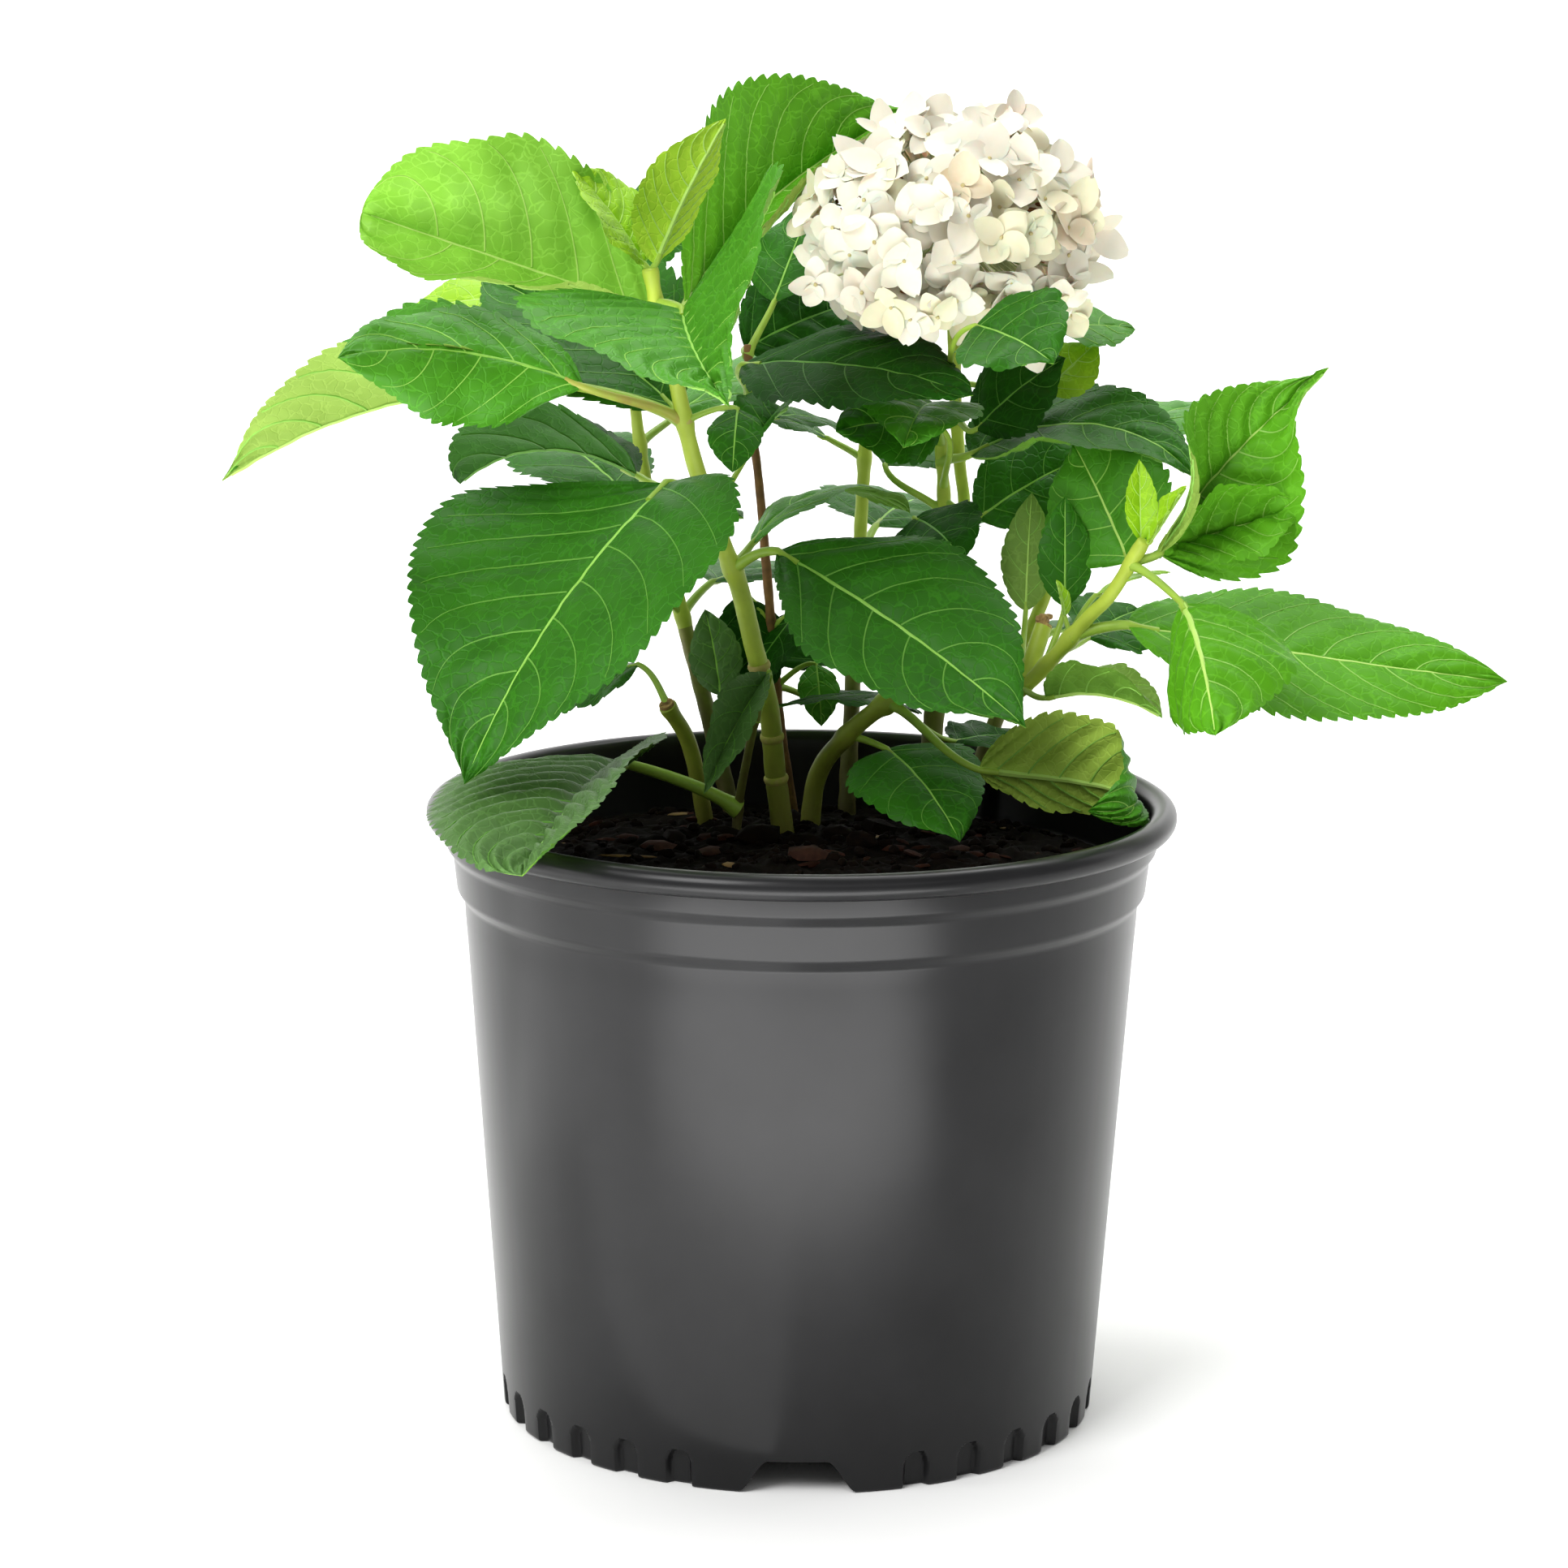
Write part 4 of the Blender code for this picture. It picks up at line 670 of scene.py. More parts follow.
# %% [markdown]
# ## The potting soil
# Potting soil is milled bark and peat: a crumbly dark bed with reddish bark chips and a few bits of pale
# straw. A displaced plane alone looks like clay, so the bed gets lumps of its own and a scatter of
# separate crumbs and chips, each a small closed mesh pressed half into it.

# %% The bed
SOIL_EDGE, SOIL_MIDDLE = 204, 212       # mm, its level at the pot's wall and in the middle
SOIL_REACH = 125.0                      # mm, radius of the bed


def soil_level(x, y):
    """Height of the soil: a low mound with soft lumps and crumbs."""
    r = min(1, math.hypot(x, y) / 126)
    high = (SOIL_MIDDLE - (SOIL_MIDDLE - SOIL_EDGE) * r ** 1.6
            + (1 - r ** 4) * 1.6 * math.sin(x * 0.11 + 1.3) * math.cos(y * 0.13 + 0.4))
    lumps = 2.6 * noise.noise(Vector((x / 10, y / 10, 0.3)))
    crumbs = 1.7 * noise.noise(Vector((x / 3.4, y / 3.4, 4)))
    return high + (lumps + crumbs) * (1 - 0.6 * r ** 8)


soil_turns = np.linspace(0, 2 * math.pi, 260, endpoint=False)
bed = [[(r * math.cos(t), r * math.sin(t), soil_level(r * math.cos(t), r * math.sin(t))) for t in soil_turns]
       for r in np.sqrt(np.linspace(0.0002, 1, 84)) * SOIL_REACH]
skirt = [[(123 * math.cos(t), 123 * math.sin(t), 190.0) for t in soil_turns]]
soil_heap = Heap()
soil_heap.grid(np.array(bed + skirt), "soil", wrap=True, flip=True)
# Peat and milled bark: matt, almost black when moist.
peat = finish("peat_milled_moist", "#0d0704", "#030201", 0.95, 5, 0.8, gloss=0.08, mottle=0.35)
grow_object("soil_bed", soil_heap, peat, sharp=60)

# %% Crumbs, bark chips and straw
def pebble(heap, at, size, spin, tall, rng, node="soil"):
    """A small closed lump with uneven sides, turned by a spin about the upright and a tilt."""
    rings, sides = 4, 6
    turn = Matrix.Rotation(spin[0], 3, "Z") @ Matrix.Rotation(spin[1], 3, "X")
    rows = []
    for i in range(rings + 1):
        lift = math.pi * i / rings
        for k in range(sides):
            t = 2 * math.pi * k / sides
            broad = math.sin(lift) * (1 + rng.uniform(-0.22, 0.22))
            x, y = size[0] * math.cos(t) * broad, size[1] * math.sin(t) * broad
            rows.append(Vector(at) + turn @ Vector((x, y, tall * math.cos(lift))))
    heap.grid(np.array(rows).reshape(rings + 1, sides, 3), node, wrap=True)


def scatter(heap, count, sizes, tall, tilt, seed, sink=0.3):
    """Strew lumps evenly over the bed, sunk by a share of their height."""
    rng = random.Random(seed)
    for _ in range(count):
        r, t = 121 * math.sqrt(rng.random()), rng.uniform(0, 2 * math.pi)
        x, y = r * math.cos(t), r * math.sin(t)
        big = rng.uniform(*sizes)
        high = big * tall
        pebble(heap, (x, y, soil_level(x, y) + high * (1 - sink) * 0.5), (big, big * rng.uniform(0.35, 0.8)),
               (rng.uniform(0, 6.3), rng.uniform(-tilt, tilt)), high, rng)


crumb_heap, chip_heap, curl_heap, straw_heap = Heap(), Heap(), Heap(), Heap()
scatter(crumb_heap, 800, (0.9, 3.8), 0.6, 0.6, 21, 0.7)
scatter(chip_heap, 70, (2.0, 7.0), 0.22, 0.5, 22, 0.8)
scatter(straw_heap, 26, (2.5, 6.0), 0.10, 0.3, 23)

# %% Single pieces
# Some pieces are too large for chance: curls of rind at the front, lumps round the canes, one long straw.
# Each is its place, its length, breadth and height, and its turn.
CURLS = ((2, -8, 9, 5, 2.4, 0.3), (12, -2, 6, 2.5, 1.2, 2.4), (-54, 8, 8, 4, 1.4, 0.2),
         (-34, 2, 7, 3.5, 1.3, 1.1), (42, 6, 7, 3.5, 1.2, 2.0), (60, 18, 6, 3, 1.2, 0.7))
LUMPS = ((2, 22, 9, 6, 5), (14, 30, 8, 6, 5), (-16, 20, 10, 6, 4.5), (-30, 34, 9, 6, 5), (22, 12, 8, 5, 4),
         (-4, 64, 10, 7, 6), (30, 52, 9, 7, 5), (-48, 30, 8, 5, 4))
rng = random.Random(24)
for x, y, long, wide, tall, spin in CURLS:
    pebble(curl_heap, (x, y, soil_level(x, y) + 2.0), (long, wide), (spin, 0.35), tall, rng)
for x, y, long, wide, tall in LUMPS:
    pebble(crumb_heap, (x, y, soil_level(x, y) + 1), (long, wide), (rng.uniform(0, 3), 0.3), tall, rng)
pebble(straw_heap, (-64, -4, soil_level(-64, -4) + 1.6), (13, 1.0), (-0.12, 0.05), 0.6, rng)
# The rind of a pine chip is red-brown and rough; broken straw is pale and a little glossy.
for name, heap, mat in (
        ("soil_crumbs", crumb_heap, finish("peat_crumbled", "#110904", "#050302", 0.95, 4, 0.3, gloss=0.08,
                                           mottle=0.4)),
        ("bark_chips", chip_heap, finish("pine_bark_chipped", "#34180d", "#120804", 0.9, 5, 0.3, gloss=0.1,
                                         mottle=0.6)),
        ("bark_curls", curl_heap, finish("pine_bark_peeled", "#3a2117", "#1e0f0a", 0.85, 3, 0.4, gloss=0.15,
                                         mottle=0.6)),
        ("straw_bits", straw_heap, finish("straw_broken", "#7d6233", "#4a381c", 0.7, 6, 0.1, gloss=0.3))):
    grow_object(name, heap, mat)

# %% [markdown]
# ## Canes
# A hydrangea cane is round, smooth and lime green in its first summer, olive and then papery brown below,
# with a swollen ring and two scars wherever a pair of leaves stood. A bevelled curve would be quick but
# can't swell at the nodes, so each cane is a grid of rings whose radius is worked out along the way. Its
# relief, fine ridges along the cane and small warts, is real mesh.

# %% Relief along a cane
CANE_STEP = 1.6                 # mm from ring to ring
CANE_SIDES = 16
# What a node adds: a share of the radius, how far above the node in mm, and over what breadth in mm.
SWELLINGS = ((0.20, 0.0, 3.2), (0.07, 3.4, 0.7))


def cane_rings(dense, foot, tip, joints, rugged):
    """The line of a cane, closely stepped, and a radius for every step and side."""
    gone = np.concatenate([[0], np.cumsum(np.linalg.norm(np.diff(dense, axis=0), axis=1))])
    at = np.arange(0, gone[-1], CANE_STEP)
    line = np.stack([np.interp(at, gone, dense[:, k]) for k in range(3)], axis=1)
    radius = foot + (tip - foot) * at / gone[-1]
    for joint in joints:
        away = at - gone[np.linalg.norm(dense - joint, axis=1).argmin()]
        radius = radius * (1 + sum(more * np.exp(-((away - above) / wide) ** 2)
                                   for more, above, wide in SWELLINGS))
    turns = [6.28 * k / CANE_SIDES for k in range(CANE_SIDES)]
    rough = np.array([[noise.noise(Vector((s / 7 + foot * 9, math.cos(t) * 1.6, math.sin(t) * 1.6)))
                       for t in turns] for s in at])
    return line, radius[:, None] * (1 + rugged * rough)


def cane_tube(heap, line, radii, node):
    """Rings round a line, with a radius for every point, closed by a flat foot and a rounded top."""
    rows = swept_rings(line, radii, CANE_SIDES)
    first, last = rows[0].mean(axis=0), rows[-1].mean(axis=0)
    top = 0.4 * unit(line[-1] - line[-2])
    rows = [np.repeat(first[None], CANE_SIDES, 0)] + rows
    rows += [last + 0.8 * (rows[-1] - last) + top, np.repeat(last[None] + top, CANE_SIDES, 0)]
    heap.grid(np.array(rows), node, wrap=True)


# %% Every stretch of cane, by the age of its bark
# Young rind is waxy and lime green, rind in its second year is dull olive, old bark is papery and brown.
OLDER = {"olive": ("centre_cane", "leaves_low_left", "back_left_cane", "back_middle_cane", "back_right_cane"),
         "brown": ("brown_cane", "brown_cane_upper", "leaves_brown_low", "leaves_brown_top")}


def cane_age(name):
    """The age of a stretch of cane, by the solid it belongs to."""
    return next((age for age, names in OLDER.items() if name in names), "green")


cane_heaps = {"green": Heap(), "olive": Heap(), "brown": Heap()}
for points, foot, tip, pieces in CANES.values():
    stems = [name for name, _, _ in pieces]
    joints = {tuple(one["node"]) for one in LEAVES if one["mass"] in stems}
    dense = smooth_path(points)
    line, radii = cane_rings(dense, foot, tip, joints, 0.05 if cane_age(stems[0]) == "green" else 0.14)
    for name, first, last in pieces:
        start, stop = (np.linalg.norm(line - dense[SPAN_STEPS * k], axis=1).argmin() for k in (first, last))
        stop = len(line) if last == len(points) - 1 else stop + 1
        if stop - start > 1:
            cane_tube(cane_heaps[cane_age(name)], line[start:stop], radii[start:stop], name)

# %% Scars of fallen leaves
# Where a leaf has dropped, a cane keeps a thin corky ring.
SCAR_HEIGHTS = (231, 249, 276, 315, 335, 373, 408)
# Along a scar: mm from its middle, and its breadth as a share of the cane's.
SCAR_SHAPE = ((-1.4, 0.97), (-0.8, 1.07), (0.2, 1.13), (1.2, 1.09), (1.7, 0.97))
scar_heap = Heap()
main_line = smooth_path(CANES["main"][0])
for at in SCAR_HEIGHTS:
    k = int(np.abs(main_line[:, 2] - at).argmin())
    radius = np.interp(main_line[k, 2], (203, 430), (4.3, 2.6)) * 1.05
    ahead = unit(main_line[k + 1] - main_line[k - 1])
    round_bar(scar_heap, [main_line[k] + ahead * along for along, _ in SCAR_SHAPE],
              [radius * wide for _, wide in SCAR_SHAPE], 20)
corky = finish("scar_corky", "#bca869", "#a3a645", 0.7, 5, 0.1, mottle=0.3)
grow_object("leaf_scars", scar_heap, corky)

# %% Pruned stubs
# Two shoots were cut back: rough ends with a ring of paler wood, one of them frayed.
round_bar(cane_heaps["green"], [(84, 19, 274), (86, 25, 280), (88.5, 28, 287), (91, 31, 294)],
          (3.6, 3.5, 3.4, 3.3), 14, "leaves_right_middle")
cut_heap = Heap()
frayed = random.Random(5)
for x, y, z, big in ((91, 31, 296, 3.2), (89, 30, 296.5, 1.8), (93, 32, 297, 1.6)):
    pebble(cut_heap, (x, y, z), (big, big * 0.8), (frayed.uniform(0, 3), 0.4), big * 0.75, frayed)
for tip_at, way, radius in (((91, 31, 294), (3, 3, 7), 3.3), ((-52, 50, 259), (-9, -10, 19), 3.0)):
    way = unit(np.array(way, float))
    round_bar(cut_heap, [tip_at + way * along for along in (-0.6, 0.5, 0.5, -0.7)],
              [radius * wide for wide in (1.03, 0.98, 0.55, 0.45)], 14)
dry_wood = finish("wood_pruned_dry", "#b8965c", "#7c6038", 0.8, 1.6, 0.2, mottle=0.4)
grow_object("cut_wood", cut_heap, dry_wood)

# %% Rinds, darker near the soil: browner old rind and painted shade
def darken_low(mat, low, high, colour):
    """Turn a rind gradually into another colour from one height in mm down to a lower one."""
    tree = mat.node_tree
    base = tree.nodes["Principled BSDF"].inputs["Base Color"]
    where = add_node(tree, "TexCoord").outputs["Object"]
    height = add_node(tree, "SeparateXYZ", {"Vector": where}).outputs["Z"]
    share = add_node(tree, "MapRange", {"Value": height, "From Min": low * MM, "From Max": high * MM})
    mixed = mix_colours(tree, share.outputs["Result"], linear(colour), base.links[0].from_socket)
    tree.links.new(mixed, base)


RINDS = {"green": finish("rind_young_waxy", "#b4c844", "#9cb036", 0.5, 9, 0.05),
         "olive": finish("rind_second_year", "#8f9a3e", "#706c2e", 0.62, 7, 0.15),
         "brown": finish("bark_papery_old", "#8c6438", "#5c4122", 0.75, 5, 0.25)}
# Low down the rinds turn a darker brown-green: partly the browner rind a cane has at its foot, partly painted
# shade for the shade low among the leaves and inside the pot's rim.
darken_low(RINDS["green"], 205, 285, "#6a6628")
darken_low(RINDS["olive"], 205, 285, "#524c24")
for age, heap in cane_heaps.items():
    grow_object("canes_" + age, heap, RINDS[age])

# %% [markdown]
# ## Leaves
# A hydrangea leaf is as broad as a hand, toothed like a saw, and quilted: the blade bulges between the
# side veins, which lie in grooves on top and stand out as pale ribs below. A flat card with a picture of
# veins would be cheap, but light would tell. Here each blade is a fine grid with the teeth in its
# margin and the quilting in its height, an underside sheet closes it, and the veins are thin raised
# ribbons on top and tapered ribs beneath.

# %% Rows that keep step with the teeth
TOOTH = 6.0                     # mm from tooth to tooth
BITE = 2.5                      # mm that a tooth stands out
# One tooth: shares of its step, and how much of the bite it stands out at each.
SAW = ((0.0, 0.0), (0.3, 0.55), (0.62, 0.95), (0.82, 1.0))


def margin_shares(one, count):
    """Shares of a blade's length that cut its margin into equal steps, and the margin's length."""
    u = np.linspace(0, 1, 801)
    half = half_width(one, u)
    gone = np.concatenate([[0], np.cumsum(np.hypot(np.diff(u) * one["length"], np.diff(half)))])
    return np.interp(np.linspace(0, gone[-1], count + 1), gone, u), gone[-1]


def saw_rows(one):
    """Rows of a blade, four to a tooth, and how far the margin stands out at each."""
    _, round_it = margin_shares(one, 1)
    at, _ = margin_shares(one, max(6, round(round_it / TOOTH)))
    us, bite = [], []
    for start, end in zip(at, at[1:]):
        for share, out in SAW:
            us.append(start + (end - start) * share)
            bite.append(out)
    ragged = 1.5 if one["tone"] == "grey" else 1.0
    return np.array(us + [1.0]), np.array(bite + [0.0]) * BITE * min(ragged, 0.45 + one["width"] / 90)

# %% One blade as a fine sheet
SMOOTH = (18.0, 1.4)            # mm between side veins of a flat blade, and how far it swells between them
COLUMN, PLEATED_COLUMN = 9, 5.5         # mm of a blade's width to each column of half of it
STAGGER = 0.32                  # how far left side veins lie behind right ones, as a share of a step
WAVE, PUCKER, GROOVE = 1.4, 0.5, 0.2    # mm: waves of the margin, fine puckers, the groove of the midrib


def rib_count(one):
    """Side veins on each half of a blade."""
    return max(4, one["length"] / (one["pleats"] or SMOOTH)[0])


def rib_lane(w):
    """How far a side vein has run towards the tip at a share of the half width; it arches forward."""
    return 0.11 * abs(w) + 0.17 * w * w


def quilt(one, u, w):
    """Height of the blade's cushions: full between side veins, nothing on them."""
    phase = (u - rib_lane(w)) * rib_count(one) + (STAGGER if w < 0 else 0.0)
    swell = 0.5 + 0.5 * np.cos(2 * math.pi * phase)
    return swell ** 0.8 * np.clip(abs(w) / 0.12, 0, 1) * (1 - abs(w) ** 6)


def leaf_sheet(one, seed):
    """Rows, columns, top points and outward directions of one blade."""
    rng = random.Random(seed)
    us, bite = saw_rows(one)
    columns = round(one["width"] / (PLEATED_COLUMN if one["pleats"] else COLUMN))
    inner = np.linspace(0.1, 0.88, min(max(columns, 3), 17))
    ws = np.concatenate([[-1], -inner[::-1], [-0.035, 0, 0.035], inner, [1]])
    grid, _ = blade_points(one, us, ws)
    out = unit(np.cross(np.gradient(grid, axis=1), np.gradient(grid, axis=0)))
    out[0], out[-1] = out[1], out[-2]
    size = min(1, one["width"] / 60)
    fade = np.clip(us / 0.06, 0, 1) * np.clip((1 - us) / 0.04, 0, 1)
    wave, phase = rng.uniform(2.0, 3.4), rng.uniform(0, 6.28)
    for j, w in enumerate(ws):
        pucker = np.array([noise.noise(Vector(p / 6)) for p in grid[:, j]])
        lift = (one["pleats"] or SMOOTH)[1] * quilt(one, us, w) + PUCKER * pucker * (abs(w) < 0.95)
        lift += WAVE * w * w * np.sin(us * wave * 2 * math.pi + phase + 1.7 * np.sign(w)) - GROOVE * (w == 0)
        grid[:, j] += out[:, j] * (size * lift * fade)[:, None]
    for j, within in ((0, 1), (-1, -2)):
        breadth = grid[:, j] - grid[:, within]
        outward, ahead = unit(breadth), unit(np.gradient(grid[:, j], axis=0))
        reach = np.minimum(bite, 0.6 * np.linalg.norm(breadth, axis=1))
        grid[:, j] += (outward * 0.9 + ahead * 0.35) * (reach * fade)[:, None] - outward * 0.5 * reach.mean()
    return us, ws, grid, out


def on_blade(sheet, u, w):
    """Points on the blade, and its outward direction, at shares of its length and half width."""
    us, ws, grid, out = sheet
    row = np.interp(u, us, np.arange(len(us)))
    col = np.interp(w, ws, np.arange(len(ws)))
    i, j = np.minimum(row.astype(int), len(us) - 2), np.minimum(col.astype(int), len(ws) - 2)
    a, b = (row - i)[:, None], (col - j)[:, None]
    place, normal = (rows[i, j] * (1 - a) * (1 - b) + rows[i + 1, j] * a * (1 - b)
                     + rows[i, j + 1] * (1 - a) * b + rows[i + 1, j + 1] * a * b for rows in (grid, out))
    return place, unit(normal)

# %% Veins
def vein_lines(one):
    """Every vein as shares of length and half width, with its breadth at start and end in mm."""
    big = min(1.0, 0.4 + one["width"] / 140)
    u = np.linspace(0.0, 0.97, max(12, int(one["length"] / 1.6)))
    lines = [(u, np.zeros(len(u)), 2.3 * big, 0.6 * big)]
    ribs = rib_count(one)
    across = np.linspace(0.02, 0.93, max(8, int(one["width"] / 3.2)))
    for side in (-1, 1):
        for k in range(int(ribs) + 1):
            root = (k + 0.5 - (STAGGER if side < 0 else 0.0)) / ribs
            lane = root + rib_lane(across)
            fits = lane < 0.98
            if 0.02 < root < 0.84 and fits.sum() > 5:
                lines.append((lane[fits], side * across[fits], 0.75 * big, 0.28 * big))
    return lines


def add_veins(heaps, sheet, one, proud, skin, below):
    """Lay the veins on a blade, midrib and side veins in their heaps: low above, raised ribs below."""
    sign = -1 if below else 1
    for k, (u, w, wide, narrow) in enumerate(vein_lines(one)):
        breadth = np.linspace(wide, narrow, len(u))[:, None] * (1.3 if below else 1)
        line, normal = on_blade(sheet, u, w)
        side = unit(np.cross(np.gradient(line, axis=0), normal)) * breadth
        base = line + normal * (sign * skin)
        crest = base + normal * (sign * proud) * np.sqrt(breadth)
        sunk = base - normal * (sign * 0.25)
        rows = [sunk - side * 0.62, crest - side * 0.3, crest + side * 0.3, sunk + side * 0.62]
        heaps[min(k, 1)].grid(np.stack(rows, axis=1), one["mass"], flip=below)

# %% Stalks
def add_stalk(heap, one):
    """A leaf stalk, clasping its cane and running on a little under the midrib."""
    line = petiole_path(one, max(6, int(np.linalg.norm(one["foot"] - one["node"]) / 2.5)))
    mids, face = blade_points(one, (0.03, 0.08), (0,))
    line = np.vstack([line, mids[:, 0] - face * 0.6])
    thick = 0.85 + 0.0095 * one["length"]
    share = np.linspace(0, 1, len(line))
    radii = thick * (1.15 - 0.4 * share + 0.5 * np.exp(-(share / 0.08) ** 2))
    round_bar(heap, line, radii, 10, one["mass"])

# %% Leaf finishes, by age and place
# The skin of a leaf is wax over cells: satin, a little glossy when young. The deep ones are old leaves
# with painted shade: blade and side veins are darker still for the shade they hang in. The lime ones are
# this week's. Undersides are matt and pale, and veins are paler than the blade they cross.
BLADE_FINISH = {
    "deep": finish("leaf_blade_old_painted_shade", "#1b4c08", "#133c05", 0.52, 14, 0.2, 5, "#1d500a", gloss=0.08),
    "dark": finish("leaf_blade_mature", "#2b670c", "#215608", 0.48, 16, 0.2, 5, "#2d6c0e", gloss=0.18),
    "mid": finish("leaf_blade_summer", "#468a1c", "#3a7815", 0.46, 16, 0.2, 5, "#498f1f", gloss=0.22),
    "fresh": finish("leaf_blade_spring", "#5a9f1c", "#4c8d16", 0.48, 16, 0.2, 5, "#5fa523", gloss=0.14),
    # The next blade finish is the spring green painted darker: painted shade for the leaves that the lamps
    # light more.
    "spring_painted_shade": finish("leaf_blade_spring_painted_shade", "#529614", "#458510", 0.48, 16, 0.15, 5, "#569b1a", gloss=0.12),
    "bright": finish("leaf_blade_young", "#8ac242", "#78b034", 0.46, 18, 0.12, 5, "#8dc646", gloss=0.22),
    "lime": finish("leaf_blade_newest", "#92c21c", "#82b218", 0.44, 14, 0.2, 4, "#99c823", gloss=0.30),
    "pale": finish("leaf_blade_faded", "#789a44", "#698b39", 0.55, 14, 0.2, 5, "#7d9f49", gloss=0.2),
    "grey": finish("leaf_blade_shaded", "#4c7234", "#3f632a", 0.52, 18, 0.2, 5, "#507738", gloss=0.30),
}
UNDER_FINISH = {
    tone: finish("leaf_underside_" + age, plain, second, rough, 12, 0.2, mesh, net, gloss=0.2)
    for tone, age, plain, second, rough, mesh, net in (
        # The shaded underside is painted shade: a dark green for the shadow over an underside that is pale in
        # light.
        ("shade", "shaded", "#356a1c", "#2c5e17", 0.65, 4.5, "#376d1e"),
        ("dark", "mature", "#6f9e38", "#649430", 0.65, 4.5, "#72a13b"),
        ("bright", "young", "#90b04c", "#84a444", 0.60, 4.5, "#94b450"),
        # The sunned underside is yellow-green of its own and painted light besides: it is set lighter than
        # the young one to lift the shade it lies in.
        ("warm_painted_light", "sunned", "#a4c44e", "#96b544", 0.60, 4.5, "#a8c852"),
        ("lime", "newest", "#a8d038", "#9ac42e", 0.60, 4, "#aed33d"))}
VEIN_FINISH = {
    tone: finish("leaf_vein_" + age, plain, second, 0.5, 6, 0.05, gloss=0.3)
    for tone, age, plain, second in (
        ("dark", "old", "#467c28", "#3b6c20"), ("mid", "mature", "#649c3a", "#568a30"),
        ("fresh", "spring", "#90c455", "#7fb347"), ("bright", "young", "#b2d66c", "#a2c75e"))}
STALK_FINISH = {
    "green": finish("leaf_stalk_green", "#9cbb42", "#86a836", 0.45, 7, 0.08),
    "ruddy": finish("leaf_stalk_sunned", "#a6b848", "#a59448", 0.45, 9, 0.08, mottle=0.3),
}
# Which finish each tone of leaf takes: blade, underside, side veins, midrib.
TONES = {"deep": ("deep", "dark", "dark", "mid"), "dark": ("dark", "dark", "mid", "fresh"),
         "mid": ("mid", "dark", "fresh", "fresh"), "fresh": ("fresh", "bright", "fresh", "bright"),
         "bright": ("bright", "bright", "bright", "bright"), "lime": ("lime", "lime", "bright", "bright"),
         "grey": ("grey", "dark", "mid", "fresh"), "under": ("mid", "bright", "fresh", "bright"),
         "shade": ("deep", "shade", "dark", "mid"), "warm_painted_light": ("mid", "warm_painted_light", "fresh", "bright"),
         "pale": ("pale", "dark", "fresh", "bright"), "spring_painted_shade": ("spring_painted_shade", "bright", "fresh", "bright")}

# %% Dress every leaf
UNDER_GAP = 0.4                 # mm between a blade's upper and lower skin


def heaps_for(finishes):
    """One empty heap for each finish."""
    return {key: Heap() for key in finishes}


blade_heaps, under_heaps, stalk_heaps = map(heaps_for, (BLADE_FINISH, UNDER_FINISH, STALK_FINISH))
vein_heaps, rib_heaps = heaps_for(VEIN_FINISH), heaps_for(VEIN_FINISH)
for seed, one in enumerate(LEAVES):
    blade, under, vein, midrib = TONES[one["tone"]]
    sheet = leaf_sheet(one, seed)
    _, ws, grid, out = sheet
    below = grid - out * (UNDER_GAP * (1 - np.abs(ws) ** 8))[None, :, None]
    blade_heaps[blade].grid(grid, one["mass"], flip=True)
    under_heaps[under].grid(below, one["mass"])
    add_veins((vein_heaps[midrib], vein_heaps[vein]), sheet, one, 0.22, 0.06, False)
    add_veins((rib_heaps[midrib], rib_heaps[vein]), sheet, one, 0.5, UNDER_GAP, True)
    add_stalk(stalk_heaps["ruddy" if one["ruddy"] else "green"], one)
print("leaves:", len(LEAVES))
for kind, heaps, finishes, sharp in (
        ("blades", blade_heaps, BLADE_FINISH, 60), ("undersides", under_heaps, UNDER_FINISH, 60),
        ("veins", vein_heaps, VEIN_FINISH, 50), ("ribs", rib_heaps, VEIN_FINISH, 50),
        ("stalks", stalk_heaps, STALK_FINISH, 50)):
    for key, heap in heaps.items():
        grow_object(f"{kind}_{key}", heap, finishes[key], sharp)

# %% [markdown]
# ## The bloom
# A mophead hydrangea is a dome of florets on forked stems. What look like four petals are sepals: broad,
# rounded, overlapping, slightly cupped and papery, white with a breath of green or pink. The true
# flower is the tiny bead in the middle. Each sepal is a small curved grid in its own outline, and the
# florets sit on a spiral that turns by the golden angle, as seeds do, so they crowd evenly without rows.

# %% One floret
def jitter(rng, reach):
    """A random step of up to a reach along each axis."""
    return np.array([rng.uniform(-reach, reach) for _ in range(3)])


def sepal(place, way, side, long, wide, shape):
    """A grid of points for one sepal that leaves its place sideways: cupped, tilted and rolled."""
    cup, tilt, curl, twist, notch = shape
    across = np.cross(way, side)
    rows = []
    for u in (0.0, 0.1, 0.24, 0.4, 0.56, 0.71, 0.84, 0.94, 1.0):
        half = wide / 2 * (math.sin(math.pi * (0.05 + 0.95 * u) ** 0.82) ** 0.55 if u < 1 else 0.18)
        for w in (-1, -0.62, -0.25, 0.25, 0.62, 1):
            reach = long * u * (1 - notch * (1 - abs(w)) * u)
            high = tilt * reach + half * (0.5 * cup * w * w + twist * w * u) + 0.35 * curl * long * u ** 3
            high += 0.35 * noise.noise(Vector((u * 2.5 + place[0], w * 1.5 + place[1], place[2])))
            rows.append(place + side * reach + across * half * w + way * high)
    return np.array(rows).reshape(9, 6, 3)


